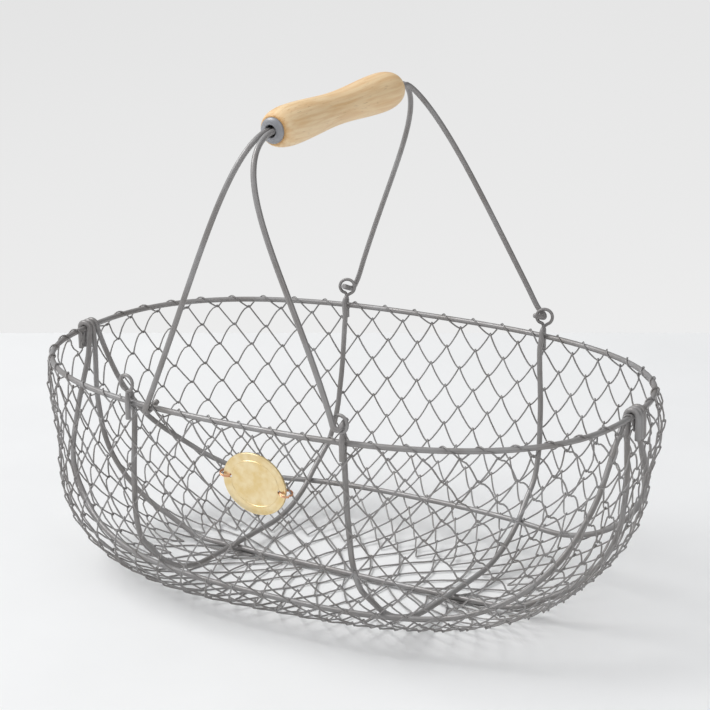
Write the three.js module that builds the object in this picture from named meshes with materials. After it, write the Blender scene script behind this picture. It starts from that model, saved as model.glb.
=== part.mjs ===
// Harvest basket: a knotted wire net hung on an oval rim, five wire ribs, and a wooden grip on two bails.
// Units are millimetres. X runs along the basket, Y across it, Z up. The basket stands on Z = 0.
import * as THREE from "three";

// Rim hoop, measured between wire centres
const RIM_LENGTH = 450;
const RIM_WIDTH = 285;
const RIM_HEIGHT = 162;
const OVAL_POWER = 2.5;
const RIM_WIRE = 4;
const RIM_STEPS = 54;

// Clearance kept between pieces that bear on each other
const GAP = 0.3;

// Wall of the basket, from the rim down to the flat floor
const TAPER_DEPTH = 70;
const TAPER_INSET = 5;
const TURN_INSET = 90;

// Knotted net. A column is one mesh wide and a row is half a mesh high.
const STRAND = 1.5;
const COLUMNS_EYE_TO_END = 6;
const COLUMNS_EYE_TO_MIDDLE = 3;
const FIRST_ROW = 9.5;
const ROW_PITCH = 19;
const SIDE_ROWS = 6;
const TURN_ROWS = 4;
const FLOOR_ROWS = 3;
const MIDDLE_STRAND = 29.3;
const COLUMN_SEAM = 1.15;
const ROW_SEAM = 1.75;
const RIM_LOOP_START = -20;
const RIM_LOOP_STEP = 70;

// Ribs. The distances run down the wall from the rim.
const RIB_WIRE = 4;
const RIB_STEP = 15;
const RIB_LEAVES_RIM = 8;
const RIB_MEETS_NET = 60;
const CROSSING_LEAD = 12;
const CROSSING_RISE = 30;
const STRAND_SAG = 0.9;
const EYE_SPACING = 173;
const EYE_RADIUS = 5.8;
const EYE_WIRE = 2.4;
const EYE_RISE = 13.8;
const EYE_OUT = 3;
const EYE_SKEW = 1.6;
const EYE_NECK = 0.75;
const EYE_STEPS = 10;
const FAR_EYE_TURN = 28;
const TAIL_LENGTH = 11;
const LEFT_RIB_FOOT = -98;
const RIGHT_RIB_FOOT = 90;
const LEAN_DEPTH = 140;
const LEAN_POWER = 1.3;
const RIB_END_STEPS = 5;
const RIB_END_FOOT = 14;
const RIB_END_TAIL = 16;
const BASE_RIB_REACH = 147;
const BASE_RIB_TURN = 58;
const BASE_RIB_BEND_LEFT = 0.6;
const BASE_RIB_BEND_RIGHT = 0.88;
const BASE_RIB_STEPS = 30;

// Handle
const BAIL_WIRE = 4;
const GRIP_RISE = 187.8;
const GRIP_TILT = 1.1;
const GRIP_LENGTH = 152;
const GRIP_PLAY = 10.5;
const GRIP_END_RADIUS = 14;
const GRIP_WAIST_RADIUS = 11.6;
const GRIP_WAIST_REACH = 57;
const GRIP_ROUNDING = 19;
const CAP_RADIUS = 9;
const CAP_DOME = 3.5;
const CAP_LIP = 0.8;
const BORE_CLEARANCE = 0.45;
const TURNED_STEPS = 18;
const LEG_STEPS = 16;
const HOOK_BEND = 2.8;
const HOOK_STEPS = 4;

// Each leg of a bail goes straight on out of the grip for its lead and bends twice on the way to its hook.
// A bend is a share of the way along to the eye, a distance inside the rim and a share of the grip's rise.
const LEGS = {
  nearLeft: {
    side: -1,
    across: -1,
    lead: 18.9,
    bends: [{ along: 0.086, inside: 9.1, rise: 0.867 }, { along: 0.31, inside: 17, rise: 0.619 }],
  },
  farLeft: {
    side: -1,
    across: 1,
    lead: 15.5,
    bends: [{ along: 0.124, inside: 11.1, rise: 0.836 }, { along: 0.388, inside: 18.7, rise: 0.648 }],
  },
  nearRight: {
    side: 1,
    across: -1,
    lead: 19.7,
    bends: [{ along: 0.005, inside: 3.9, rise: 0.868 }, { along: 0.406, inside: 19.4, rise: 0.572 }],
  },
  farRight: {
    side: 1,
    across: 1,
    lead: 7.8,
    bends: [{ along: 0.095, inside: 9.2, rise: 0.826 }, { along: 0.355, inside: 13.7, rise: 0.627 }],
  },
};

// Hooks in the eyes, from the eye's middle: end of the leg, lowest point of the bend, and tip
const HOOKS = {
  farLeft: { shank: [4.9, 8.3, 6.1], bend: [1.3, 5.9, -2.1], tip: [0.3, -5.5, 1.6] },
  nearRight: { shank: [-4.9, -3.9, 4.6], bend: [0.1, -4.9, -2.5], tip: [2.3, 3.5, 2.2] },
  farRight: { shank: [-5.7, 1.4, 5.2], bend: [-0.9, 1.3, 0], tip: [-2.5, -10, 3] },
};

// The stray hook, from the rim's centre line beside the eye: it goes round under the rim
const STRAY_HOOK_X = -71;
const STRAY_SHANK = [7.8, -5, 9.6];
const STRAY_TIP = [4.4, 6.5, 1.8];
const STRAY_SIDE_X = 2.9;
const STRAY_BOTTOM_X = 0.5;
const STRAY_TURN = 150;
const STRAY_STEPS = 4;

// Oval tag, bare
const TAG_THICKNESS = 1.2;
const TAG_LENGTH = 49;
const TAG_HEIGHT = 44;
const TAG_HOLE = 3;
const TAG_RING_RADIUS = 4.8;
const TAG_RING_WIRE = 1.4;
const TAG_STEPS = 36;
const TAG_HOLE_STEPS = 12;
const TAG_ROW = 2;
const TAG_LEFT_FRACTION = 0.5;
const TAG_RIGHT_FRACTION = 0.74;

// Sizes that follow
const TURN = 2 * Math.PI;
const QUARTER = Math.PI / 2;
const NET_OFFSET = RIM_WIRE / 2 + GAP + STRAND / 2;
const FLOOR_LEVEL = STRAND / 2;
const TURN_DROP = RIM_HEIGHT - TAPER_DEPTH - FLOOR_LEVEL;
const TURN_ARC = (QUARTER * (TURN_DROP + TURN_INSET)) / 2;
const COLUMNS = 4 * (COLUMNS_EYE_TO_END + COLUMNS_EYE_TO_MIDDLE);
const HALF_COLUMNS = COLUMNS / 2;
const BOTTOM_ROW = SIDE_ROWS + TURN_ROWS;
const RIB_ON_NET = STRAND / 2 + STRAND_SAG + GAP + RIB_WIRE / 2;
const RIB_IN_RIM = NET_OFFSET + RIM_WIRE / 2 + GAP + RIB_WIRE / 2;
const RIB_OVER_RIB = RIB_ON_NET + RIB_WIRE + GAP;
const RIM_WRAP = RIM_WIRE / 2 + GAP + RIB_WIRE / 2;
const RIB_END_SPACING = RIB_WIRE + GAP;
const EYE_X = EYE_SPACING / 2;
const GRIP_Z = RIM_HEIGHT + GRIP_RISE;
const BAIL_STRAIGHT = GRIP_LENGTH + 2 * CAP_DOME + GRIP_PLAY;
const WIRE_PAIR = BAIL_WIRE / 2 + GAP / 2;
const BORE_RADIUS = WIRE_PAIR + BAIL_WIRE / 2 + BORE_CLEARANCE;

const vec = (x, y, z) => new THREE.Vector3(x, y, z);
const UP = vec(0, 0, 1);
const mix = (a, b, t) => a + (b - a) * t;

function smooth(from, to, value) {
  const t = THREE.MathUtils.clamp((value - from) / (to - from), 0, 1);
  return t * t * (3 - 2 * t);
}

// The basket's surface

function ovalPoint(halfLength, halfWidth, angle) {
  const c = Math.cos(angle);
  const s = Math.sin(angle);
  const x = halfLength * Math.sign(c) * Math.abs(c) ** (2 / OVAL_POWER);
  const y = halfWidth * Math.sign(s) * Math.abs(s) ** (2 / OVAL_POWER);
  return vec(x, y, 0);
}

function ovalNormal(halfLength, halfWidth, point) {
  const x = (Math.sign(point.x) * Math.abs(point.x / halfLength) ** (OVAL_POWER - 1)) / halfLength;
  const y = (Math.sign(point.y) * Math.abs(point.y / halfWidth) ** (OVAL_POWER - 1)) / halfWidth;
  return vec(x, y, 0).normalize();
}

function ovalHalfWidthAt(x, halfLength, halfWidth) {
  return halfWidth * (1 - (Math.abs(x) / halfLength) ** OVAL_POWER) ** (1 / OVAL_POWER);
}

const rimHalfWidthAt = (x) => ovalHalfWidthAt(x, RIM_LENGTH / 2, RIM_WIDTH / 2);

// Inset from the rim, height and slope of the wall at a distance down it
function wallAt(distance) {
  if (distance < TAPER_DEPTH) {
    const t = distance / TAPER_DEPTH;
    return { inset: TAPER_INSET * t, z: RIM_HEIGHT - distance, slope: Math.atan(TAPER_INSET / TAPER_DEPTH) };
  }
  const turn = (distance - TAPER_DEPTH) / TURN_ARC;
  if (turn < 1) {
    const slope = turn * QUARTER;
    const inset = TAPER_INSET + TURN_INSET * (1 - Math.cos(slope));
    return { inset, z: RIM_HEIGHT - TAPER_DEPTH - TURN_DROP * Math.sin(slope), slope };
  }
  const inset = TAPER_INSET + TURN_INSET + distance - TAPER_DEPTH - TURN_ARC;
  return { inset, z: FLOOR_LEVEL, slope: QUARTER };
}

// Point and outward normal of the net's middle surface, moved inwards by a depth
function surfaceAt(angle, distance, depth = 0) {
  const wall = wallAt(distance);
  const halfLength = RIM_LENGTH / 2 + NET_OFFSET - wall.inset;
  const halfWidth = RIM_WIDTH / 2 + NET_OFFSET - wall.inset;
  const point = ovalPoint(halfLength, halfWidth, angle);
  const normal = ovalNormal(halfLength, halfWidth, point).multiplyScalar(Math.cos(wall.slope));
  normal.z = -Math.sin(wall.slope);
  point.z = wall.z;
  return { point: point.addScaledVector(normal, -depth), normal };
}

function rimAngleAt(x) {
  return Math.acos((x / (RIM_LENGTH / 2)) ** (OVAL_POWER / 2));
}

// Angles that part a stretch of the rim into equal lengths
function evenAngles(from, to, count) {
  const samples = 400;
  const lengths = [0];
  for (let i = 1; i <= samples; i += 1) {
    const before = ovalPoint(RIM_LENGTH / 2, RIM_WIDTH / 2, mix(from, to, (i - 1) / samples));
    const here = ovalPoint(RIM_LENGTH / 2, RIM_WIDTH / 2, mix(from, to, i / samples));
    lengths.push(lengths[i - 1] + before.distanceTo(here));
  }
  const angles = [];
  for (let k = 0; k <= count; k += 1) {
    const wanted = (lengths[samples] * k) / count;
    const i = Math.max(1, lengths.findIndex((length) => length >= wanted - 1e-9));
    const part = (wanted - lengths[i - 1]) / (lengths[i] - lengths[i - 1]);
    angles.push(mix(from, to, (i - 1 + part) / samples));
  }
  return angles;
}

const EYE_ANGLE = rimAngleAt(EYE_X);
const QUARTER_ANGLES = [
  ...evenAngles(0, EYE_ANGLE, COLUMNS_EYE_TO_END),
  ...evenAngles(EYE_ANGLE, QUARTER, COLUMNS_EYE_TO_MIDDLE).slice(1),
];

// Angle of a net column, which may lie between whole columns
function columnAngle(column) {
  const quarterColumns = COLUMNS / 4;
  const wrapped = ((column % COLUMNS) + COLUMNS) % COLUMNS;
  const quarter = Math.min(3, Math.floor(wrapped / quarterColumns));
  const along = wrapped - quarter * quarterColumns;
  const local = quarter % 2 === 0 ? along : quarterColumns - along;
  const index = Math.min(Math.floor(local), quarterColumns - 1);
  const angle = mix(QUARTER_ANGLES[index], QUARTER_ANGLES[index + 1], local - index);
  return quarter % 2 === 0 ? quarter * QUARTER + angle : (quarter + 1) * QUARTER - angle;
}

// Solids

function closedMesh(positions, triangles) {
  const geometry = new THREE.BufferGeometry();
  geometry.setAttribute("position", new THREE.Float32BufferAttribute(positions, 3));
  geometry.setIndex(triangles);
  return geometry;
}

// Round rod along dense points. A loop gives the normal of its own plane.
function rod(points, radiusAt, sides = 6, loopNormal = null) {
  const count = points.length;
  const radius = typeof radiusAt === "function" ? radiusAt : () => radiusAt;
  const tangentAt = (i) => {
    const before = points[loopNormal ? (i + count - 1) % count : Math.max(0, i - 1)];
    const after = points[loopNormal ? (i + 1) % count : Math.min(count - 1, i + 1)];
    return after.clone().sub(before).normalize();
  };
  const positions = [];
  let across = null;
  for (let i = 0; i < count; i += 1) {
    const tangent = tangentAt(i);
    if (loopNormal) {
      across = loopNormal.clone();
    } else if (across === null) {
      across = Math.abs(tangent.y) < 0.9 ? vec(0, 1, 0) : vec(1, 0, 0);
    }
    across.addScaledVector(tangent, -across.dot(tangent)).normalize();
    const side = tangent.clone().cross(across);
    for (let k = 0; k < sides; k += 1) {
      const turn = (TURN * (k + 0.5)) / sides;
      const place = points[i].clone();
      place.addScaledVector(across, radius(i / (count - 1)) * Math.cos(turn));
      place.addScaledVector(side, radius(i / (count - 1)) * Math.sin(turn));
      positions.push(place.x, place.y, place.z);
    }
  }
  const triangles = [];
  const rings = loopNormal ? count : count - 1;
  for (let i = 0; i < rings; i += 1) {
    const here = i * sides;
    const next = ((i + 1) % count) * sides;
    for (let k = 0; k < sides; k += 1) {
      const k2 = (k + 1) % sides;
      triangles.push(here + k, here + k2, next + k, here + k2, next + k2, next + k);
    }
  }
  if (!loopNormal) {
    const last = (count - 1) * sides;
    for (let k = 1; k < sides - 1; k += 1) {
      triangles.push(0, k + 1, k, last, last + k, last + k + 1);
    }
  }
  return closedMesh(positions, triangles);
}

// Square strands joined in knots: each vertex has a place, a normal and the names of its neighbours
function strandNet(vertices) {
  const names = [...vertices.keys()];
  const positions = [];
  const triangles = [];
  const ports = new Map();
  const half = STRAND / 2;
  for (const name of names) {
    const { point, normal, links } = vertices.get(name);
    const across = (Math.abs(normal.z) < 0.9 ? UP.clone() : vec(1, 0, 0));
    across.addScaledVector(normal, -across.dot(normal)).normalize();
    const side = normal.clone().cross(across);
    const rays = links.map((link) => {
      const way = vertices.get(link).point.clone().sub(point);
      return { link, angle: Math.atan2(way.dot(side), way.dot(across)) };
    });
    rays.sort((a, b) => a.angle - b.angle);
    const corner = (angle, reach) => {
      const place = point.clone();
      place.addScaledVector(across, Math.cos(angle) * reach);
      place.addScaledVector(side, Math.sin(angle) * reach);
      for (const level of [half, -half]) {
        positions.push(place.x + normal.x * level, place.y + normal.y * level, place.z + normal.z * level);
      }
      return positions.length / 3 - 2;
    };
    if (rays.length === 1) {
      const right = corner(rays[0].angle - QUARTER, half);
      const left = corner(rays[0].angle + QUARTER, half);
      ports.set(`${name}>${rays[0].link}`, { right, left });
      triangles.push(left, left + 1, right + 1, left, right + 1, right);
      continue;
    }
    const corners = rays.map((ray, i) => {
      const next = rays[(i + 1) % rays.length];
      const opening = (next.angle - ray.angle + TURN) % TURN;
      return corner(ray.angle + opening / 2, half / Math.sin(opening / 2));
    });
    rays.forEach((ray, i) => {
      const right = corners[(i + rays.length - 1) % rays.length];
      ports.set(`${name}>${ray.link}`, { right, left: corners[i] });
    });
    for (let i = 1; i < corners.length - 1; i += 1) {
      triangles.push(corners[0], corners[i], corners[i + 1]);
      triangles.push(corners[0] + 1, corners[i + 1] + 1, corners[i] + 1);
    }
  }
  const quad = (a, b, c, d) => triangles.push(a, b, c, a, c, d);
  for (const name of names) {
    for (const link of vertices.get(name).links) {
      if (name < link) {
        const here = ports.get(`${name}>${link}`);
        const there = ports.get(`${link}>${name}`);
        quad(here.right, there.left, there.right, here.left);
        quad(here.left + 1, there.right + 1, there.left + 1, here.right + 1);
        quad(here.left, there.right, there.right + 1, here.left + 1);
        quad(here.right + 1, there.left + 1, there.left, here.right);
      }
    }
  }
  return closedMesh(positions, triangles);
}

// Net panels

function addKnot(vertices, name, place) {
  if (!vertices.has(name)) {
    vertices.set(name, { ...place, links: [] });
  }
}

function tie(vertices, one, other) {
  vertices.get(one).links.push(other);
  vertices.get(other).links.push(one);
}

// How far a panel's edge strands keep from a column at the rim, so that its eye or rib ends have room
function rimSeam(column) {
  const besideRib = RIB_WIRE / 2 + STRAND / 2;
  if (column % HALF_COLUMNS === 0) {
    return RIB_END_SPACING + besideRib + GAP;
  }
  const fromEnd = Math.min(column % HALF_COLUMNS, HALF_COLUMNS - (column % HALF_COLUMNS));
  return fromEnd === COLUMNS_EYE_TO_END ? EYE_SKEW + besideRib + 3 * GAP : COLUMN_SEAM;
}

// Loop of a strand over the rim, above a knot of the first row
function addRimLoop(vertices, name, angle) {
  const centre = ovalPoint(RIM_LENGTH / 2, RIM_WIDTH / 2, angle);
  const out = ovalNormal(RIM_LENGTH / 2, RIM_WIDTH / 2, centre);
  centre.z = RIM_HEIGHT;
  const step = THREE.MathUtils.degToRad(RIM_LOOP_STEP);
  const start = THREE.MathUtils.degToRad(RIM_LOOP_START);
  const reach = (RIM_WIRE / 2 + GAP + STRAND / 2) / Math.cos(step / 2);
  let before = null;
  for (let i = 0; i < 4; i += 1) {
    const around = start + step * i;
    const normal = out.clone().multiplyScalar(Math.cos(around)).addScaledVector(UP, Math.sin(around));
    const knot = i === 0 ? name : `${name} loop ${i}`;
    addKnot(vertices, knot, { point: centre.clone().addScaledVector(normal, reach), normal });
    if (before) {
      tie(vertices, before, knot);
    }
    before = knot;
  }
}

const rowDistance = (row) => (row === 0 ? 0 : FIRST_ROW + (row - 1) * ROW_PITCH);

// Panel between two columns and two rows. Its edge knots keep a seam from the next panel.
function wallPanel(fromColumn, toColumn, fromRow, toRow) {
  const vertices = new Map();
  const place = (column, row) => {
    const distance = rowDistance(row);
    const inward = column === fromColumn ? 0.5 : -0.5;
    const here = surfaceAt(columnAngle(column), distance).point;
    const beside = surfaceAt(columnAngle(column + inward), distance).point;
    const seam = row === 0 ? rimSeam(column % COLUMNS) : COLUMN_SEAM;
    const onEdge = column === fromColumn || column === toColumn;
    const shift = onEdge ? (inward * seam) / here.distanceTo(beside) : 0;
    const drop = row === fromRow ? ROW_SEAM : row === toRow ? -ROW_SEAM : 0;
    return { angle: columnAngle(column + shift), distance: distance + (row === 0 ? 0 : drop) };
  };
  const knot = (column, row) => {
    const name = `${column} ${row}`;
    if (!vertices.has(name)) {
      const { angle, distance } = place(column, row);
      if (row === 0) {
        addRimLoop(vertices, name, angle);
      } else {
        addKnot(vertices, name, surfaceAt(angle, distance));
      }
    }
    return name;
  };
  for (let row = fromRow; row < toRow; row += 1) {
    const offset = row % 2 === 0 ? 0 : 0.5;
    for (let column = fromColumn + offset; column <= toColumn; column += 1) {
      for (const half of [-0.5, 0.5]) {
        const below = column + half;
        if (below >= fromColumn && below <= toColumn) {
          tie(vertices, knot(column, row), knot(below, row + 1));
        }
      }
    }
  }
  return strandNet(vertices);
}

// Floor: every second column carries on inwards, and strands cross the middle
function floorPanel() {
  const vertices = new Map();
  const start = rowDistance(BOTTOM_ROW) + ROW_SEAM;
  const insetOfMiddle = RIM_WIDTH / 2 + NET_OFFSET - MIDDLE_STRAND / 2;
  const end = TAPER_DEPTH + TURN_ARC + insetOfMiddle - TAPER_INSET - TURN_INSET;
  const knot = (column, row) => {
    const name = `${(column + COLUMNS) % COLUMNS} ${row}`;
    addKnot(vertices, name, surfaceAt(columnAngle(column), mix(start, end, row / FLOOR_ROWS)));
    return name;
  };
  for (let row = 0; row < FLOOR_ROWS; row += 1) {
    for (let column = row % 2; column < COLUMNS; column += 2) {
      tie(vertices, knot(column, row), knot(column - 1, row + 1));
      tie(vertices, knot(column, row), knot(column + 1, row + 1));
    }
  }
  for (let column = FLOOR_ROWS % 2; column < HALF_COLUMNS; column += 2) {
    tie(vertices, knot(column, FLOOR_ROWS), knot(COLUMNS - column, FLOOR_ROWS));
  }
  return strandNet(vertices);
}

// Rim and ribs

function rimHoop() {
  const points = [];
  for (let i = 0; i < RIM_STEPS; i += 1) {
    const column = (COLUMNS * i) / RIM_STEPS;
    points.push(ovalPoint(RIM_LENGTH / 2, RIM_WIDTH / 2, columnAngle(column)).setZ(RIM_HEIGHT));
  }
  return rod(points, RIM_WIRE / 2, 6, UP);
}

// How deep inside the net a rib lies: inside the rim at the top, then on the net
function ribDepth(distance, onNet) {
  return mix(RIB_IN_RIM, onNet, smooth(RIB_LEAVES_RIM, RIB_MEETS_NET, distance));
}

// Middle of an eye's ring, on the far side for across = 1 and on the near side for across = -1
function eyeCentre(x, across) {
  return vec(x, across * (rimHalfWidthAt(x) + EYE_OUT), RIM_HEIGHT + EYE_RISE);
}

// Half of a cross rib, from the floor's middle to the tail of its eye. It leans from the eye to its foot,
// and passes over the base rib and the centre rib.
function crossRibHalf(eyeX, footX, across) {
  const points = [];
  const topX = eyeX + across * EYE_SKEW;
  const tailX = eyeX - across * EYE_SKEW;
  const crossing = BASE_RIB_REACH - CROSSING_LEAD;
  for (let distance = TAPER_DEPTH + TURN_ARC; distance > RIB_LEAVES_RIM; distance -= RIB_STEP) {
    const wall = wallAt(distance);
    const halfLength = RIM_LENGTH / 2 + NET_OFFSET - wall.inset;
    const halfWidth = RIM_WIDTH / 2 + NET_OFFSET - wall.inset;
    const onNet = mix(RIB_ON_NET, RIB_OVER_RIB, smooth(crossing - CROSSING_RISE, crossing, distance));
    const x = mix(topX, footX, Math.min(1, distance / LEAN_DEPTH) ** LEAN_POWER);
    const point = vec(x, across * ovalHalfWidthAt(x, halfLength, halfWidth), wall.z);
    const normal = ovalNormal(halfLength, halfWidth, point).multiplyScalar(Math.cos(wall.slope));
    normal.z = -Math.sin(wall.slope);
    points.push(point.addScaledVector(normal, -ribDepth(distance, onNet)));
  }
  const ringCentre = eyeCentre(eyeX, across);
  const insideY = across * (rimHalfWidthAt(topX) - RIM_WRAP);
  const outsideY = across * (rimHalfWidthAt(tailX) + RIM_WRAP);
  const turned = across > 0 ? THREE.MathUtils.degToRad(FAR_EYE_TURN) : Math.PI;
  const ringAcross = vec(Math.cos(turned), Math.sin(turned), 0);
  const ringOut = vec(-Math.sin(turned), Math.cos(turned), 0);
  const neckZ = mix(RIM_HEIGHT, ringCentre.z - EYE_RADIUS, EYE_NECK);
  points.push(vec(topX, insideY, RIM_HEIGHT));
  points.push(vec(topX, mix(ringCentre.y - across * EYE_OUT, insideY, EYE_NECK), neckZ));
  for (let i = 0; i <= EYE_STEPS; i += 1) {
    const around = THREE.MathUtils.degToRad(mix(-60, 240, i / EYE_STEPS));
    const point = ringCentre.clone().addScaledVector(ringAcross, EYE_RADIUS * Math.cos(around));
    point.addScaledVector(ringOut, mix(-1, 1, i / EYE_STEPS) * (EYE_WIRE / 2 + GAP));
    points.push(point.addScaledVector(UP, EYE_RADIUS * Math.sin(around)));
  }
  points.push(vec(tailX, outsideY, neckZ));
  points.push(vec(tailX, outsideY, RIM_HEIGHT));
  points.push(vec(tailX, outsideY, RIM_HEIGHT - TAIL_LENGTH));
  return points;
}

function crossRib(eyeX, footX) {
  const points = [...crossRibHalf(eyeX, footX, -1).reverse(), ...crossRibHalf(eyeX, footX, 1)];
  const rimTop = RIM_HEIGHT + RIM_WIRE / 2;
  const eyeFoot = RIM_HEIGHT + EYE_RISE - EYE_RADIUS;
  const radius = (t) => {
    const point = points[Math.round(t * (points.length - 1))];
    return mix(RIB_WIRE, EYE_WIRE, smooth(rimTop, eyeFoot, point.z)) / 2;
  };
  return rod(points, radius);
}

// End of a long rib, from inside the rim over it and down outside it
function ribEnd(side, y) {
  const points = [];
  const reach = RIM_WRAP / Math.cos(QUARTER / RIB_END_STEPS);
  for (let i = 0; i <= RIB_END_STEPS; i += 1) {
    const around = Math.PI * (1 - i / RIB_END_STEPS);
    const x = side * (RIM_LENGTH / 2 + reach * Math.cos(around));
    points.push(vec(x, y, RIM_HEIGHT + reach * Math.sin(around)));
  }
  points.push(vec(side * (RIM_LENGTH / 2 + reach), y, RIM_HEIGHT - RIB_END_TAIL));
  return points;
}

// Centre rib: it runs from one end of the rim to the other along the floor's middle
function centreRib() {
  const right = [];
  for (let distance = RIB_END_FOOT; distance < TAPER_DEPTH + TURN_ARC + RIB_STEP; distance += RIB_STEP) {
    right.push(surfaceAt(0, distance, ribDepth(distance, RIB_ON_NET)).point);
  }
  const left = right.map((point) => vec(-point.x, point.y, point.z)).reverse();
  return rod([...ribEnd(1, 0).reverse(), ...right, ...left, ...ribEnd(-1, 0)], RIB_WIRE / 2);
}

// Base rib: it leaves the end of the rim, turns along the foot of one side and comes up at the other end
function baseRib(side) {
  const endY = side * RIB_END_SPACING;
  const startAngle = Math.asin((RIB_END_SPACING / (RIM_WIDTH / 2)) ** (OVAL_POWER / 2));
  const points = [];
  for (let i = 1; i < BASE_RIB_STEPS; i += 1) {
    const eased = (1 - Math.cos((Math.PI * i) / BASE_RIB_STEPS)) / 2;
    const angle = mix(startAngle, Math.PI - startAngle, eased);
    const fromEnd = Math.min(angle, Math.PI - angle) - startAngle;
    const bend = angle < QUARTER ? BASE_RIB_BEND_RIGHT : BASE_RIB_BEND_LEFT;
    const turned = Math.min(1, fromEnd / THREE.MathUtils.degToRad(BASE_RIB_TURN)) ** bend;
    const distance = BASE_RIB_REACH * Math.sin(turned * QUARTER);
    if (distance > RIB_END_FOOT) {
      points.push(surfaceAt(side * angle, distance, ribDepth(distance, RIB_ON_NET)).point);
    }
  }
  return rod([...ribEnd(1, endY).reverse(), ...points, ...ribEnd(-1, endY)], RIB_WIRE / 2);
}

// Handle

const GRIP_AXIS = vec(0, 1, 0).applyAxisAngle(vec(1, 0, 0), THREE.MathUtils.degToRad(GRIP_TILT));

// Point beside the grip's axis, at a distance along it from the basket's middle
const besideGripAxis = (x, along) => vec(x, 0, GRIP_Z).addScaledVector(GRIP_AXIS, along);

// One leg of a bail, from the end of its straight stretch down to its hook
function legPath({ side, across, lead, bends }, hook) {
  const straight = BAIL_STRAIGHT / 2;
  const controls = [
    besideGripAxis(side * WIRE_PAIR, across * straight),
    besideGripAxis(side * WIRE_PAIR, across * (straight + lead)),
  ];
  for (const { along, inside, rise } of bends) {
    const y = across * (RIM_WIDTH / 2 - inside);
    controls.push(vec(side * EYE_X * along, y, mix(RIM_HEIGHT, GRIP_Z, rise)));
  }
  controls.push(hook[0]);
  const points = [];
  for (let i = 0; i < LEG_STEPS; i += 1) {
    let level = controls.map((point) => point.clone());
    while (level.length > 1) {
      level = level.slice(1).map((point, k) => level[k].clone().lerp(point, i / LEG_STEPS));
    }
    points.push(level[0]);
  }
  return [...points, ...hook];
}

// Hook through an eye: down from the leg, round a bend and up to the tip
function eyeHook({ side, across }, { shank, bend, tip }) {
  const [start, lowest, end] = [shank, bend, tip].map((offset) => (
    eyeCentre(side * EYE_X, across).add(vec(...offset))
  ));
  const up = start.clone().sub(lowest).normalize();
  const on = end.clone().sub(lowest).normalize();
  const inwards = up.clone().add(on).normalize();
  const bendCentre = lowest.clone().addScaledVector(inwards, HOOK_BEND);
  const halfTurn = QUARTER - up.angleTo(on) / 2;
  const along = on.clone().addScaledVector(inwards, -on.dot(inwards)).normalize();
  const points = [start];
  for (let i = 0; i <= HOOK_STEPS; i += 1) {
    const around = mix(-halfTurn, halfTurn, i / HOOK_STEPS);
    const point = bendCentre.clone().addScaledVector(inwards, -HOOK_BEND * Math.cos(around));
    points.push(point.addScaledVector(along, HOOK_BEND * Math.sin(around)));
  }
  return [...points, end];
}

// The near left hook has slipped out of its eye and bears under the rim beside it
function strayHook() {
  const rimPoint = vec(STRAY_HOOK_X, -rimHalfWidthAt(STRAY_HOOK_X), RIM_HEIGHT);
  const step = THREE.MathUtils.degToRad(STRAY_TURN) / STRAY_STEPS;
  const reach = RIM_WRAP / Math.cos(step / 2);
  const points = [rimPoint.clone().add(vec(...STRAY_SHANK))];
  for (let i = 0; i <= STRAY_STEPS; i += 1) {
    const x = mix(STRAY_SIDE_X, STRAY_BOTTOM_X, Math.sin(step * i));
    points.push(rimPoint.clone().add(vec(x, -reach * Math.cos(step * i), -reach * Math.sin(step * i))));
  }
  points.push(rimPoint.clone().add(vec(...STRAY_TIP)));
  return points;
}

function bail(nearLeg, nearHook, farLeg, farHook) {
  return rod([...legPath(nearLeg, nearHook).reverse(), ...legPath(farLeg, farHook)], BAIL_WIRE / 2);
}

function lathe(outline) {
  return new THREE.LatheGeometry(outline.map(([radius, along]) => new THREE.Vector2(radius, along)), TURNED_STEPS);
}

// The grip swells to both ends, with its end edges rounded
function woodGrip() {
  const half = GRIP_LENGTH / 2;
  const steps = 5;
  const shoulder = half - GRIP_ROUNDING;
  const farEdge = [];
  for (let i = 0; i <= steps; i += 1) {
    const turn = (QUARTER * i) / steps;
    farEdge.push([mix(GRIP_END_RADIUS, CAP_RADIUS, 1 - Math.cos(turn)), shoulder + GRIP_ROUNDING * Math.sin(turn)]);
  }
  const nearEdge = farEdge.map(([radius, along]) => [radius, -along]).reverse();
  const waist = [];
  for (let i = 0; i <= steps; i += 1) {
    const along = mix(-GRIP_WAIST_REACH, GRIP_WAIST_REACH, i / steps);
    const drawnIn = Math.cos((QUARTER * along) / GRIP_WAIST_REACH) ** 2;
    waist.push([mix(GRIP_END_RADIUS, GRIP_WAIST_RADIUS, drawnIn), along]);
  }
  return lathe([[BORE_RADIUS, -half], ...nearEdge, ...waist, ...farEdge, [BORE_RADIUS, half], [BORE_RADIUS, -half]]);
}

// Domed cap on the end of the grip, with the hole that both bails leave through
function gripCap() {
  const seat = GRIP_LENGTH / 2;
  const steps = 3;
  const outline = [[BORE_RADIUS, seat], [CAP_RADIUS, seat]];
  for (let i = 0; i <= steps; i += 1) {
    const turn = (QUARTER * i) / steps;
    const radius = mix(BORE_RADIUS, CAP_RADIUS, Math.cos(turn));
    outline.push([radius, seat + mix(CAP_LIP, CAP_DOME, Math.sin(turn))]);
  }
  outline.push([BORE_RADIUS, seat]);
  return lathe(outline);
}

// Tag

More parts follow.
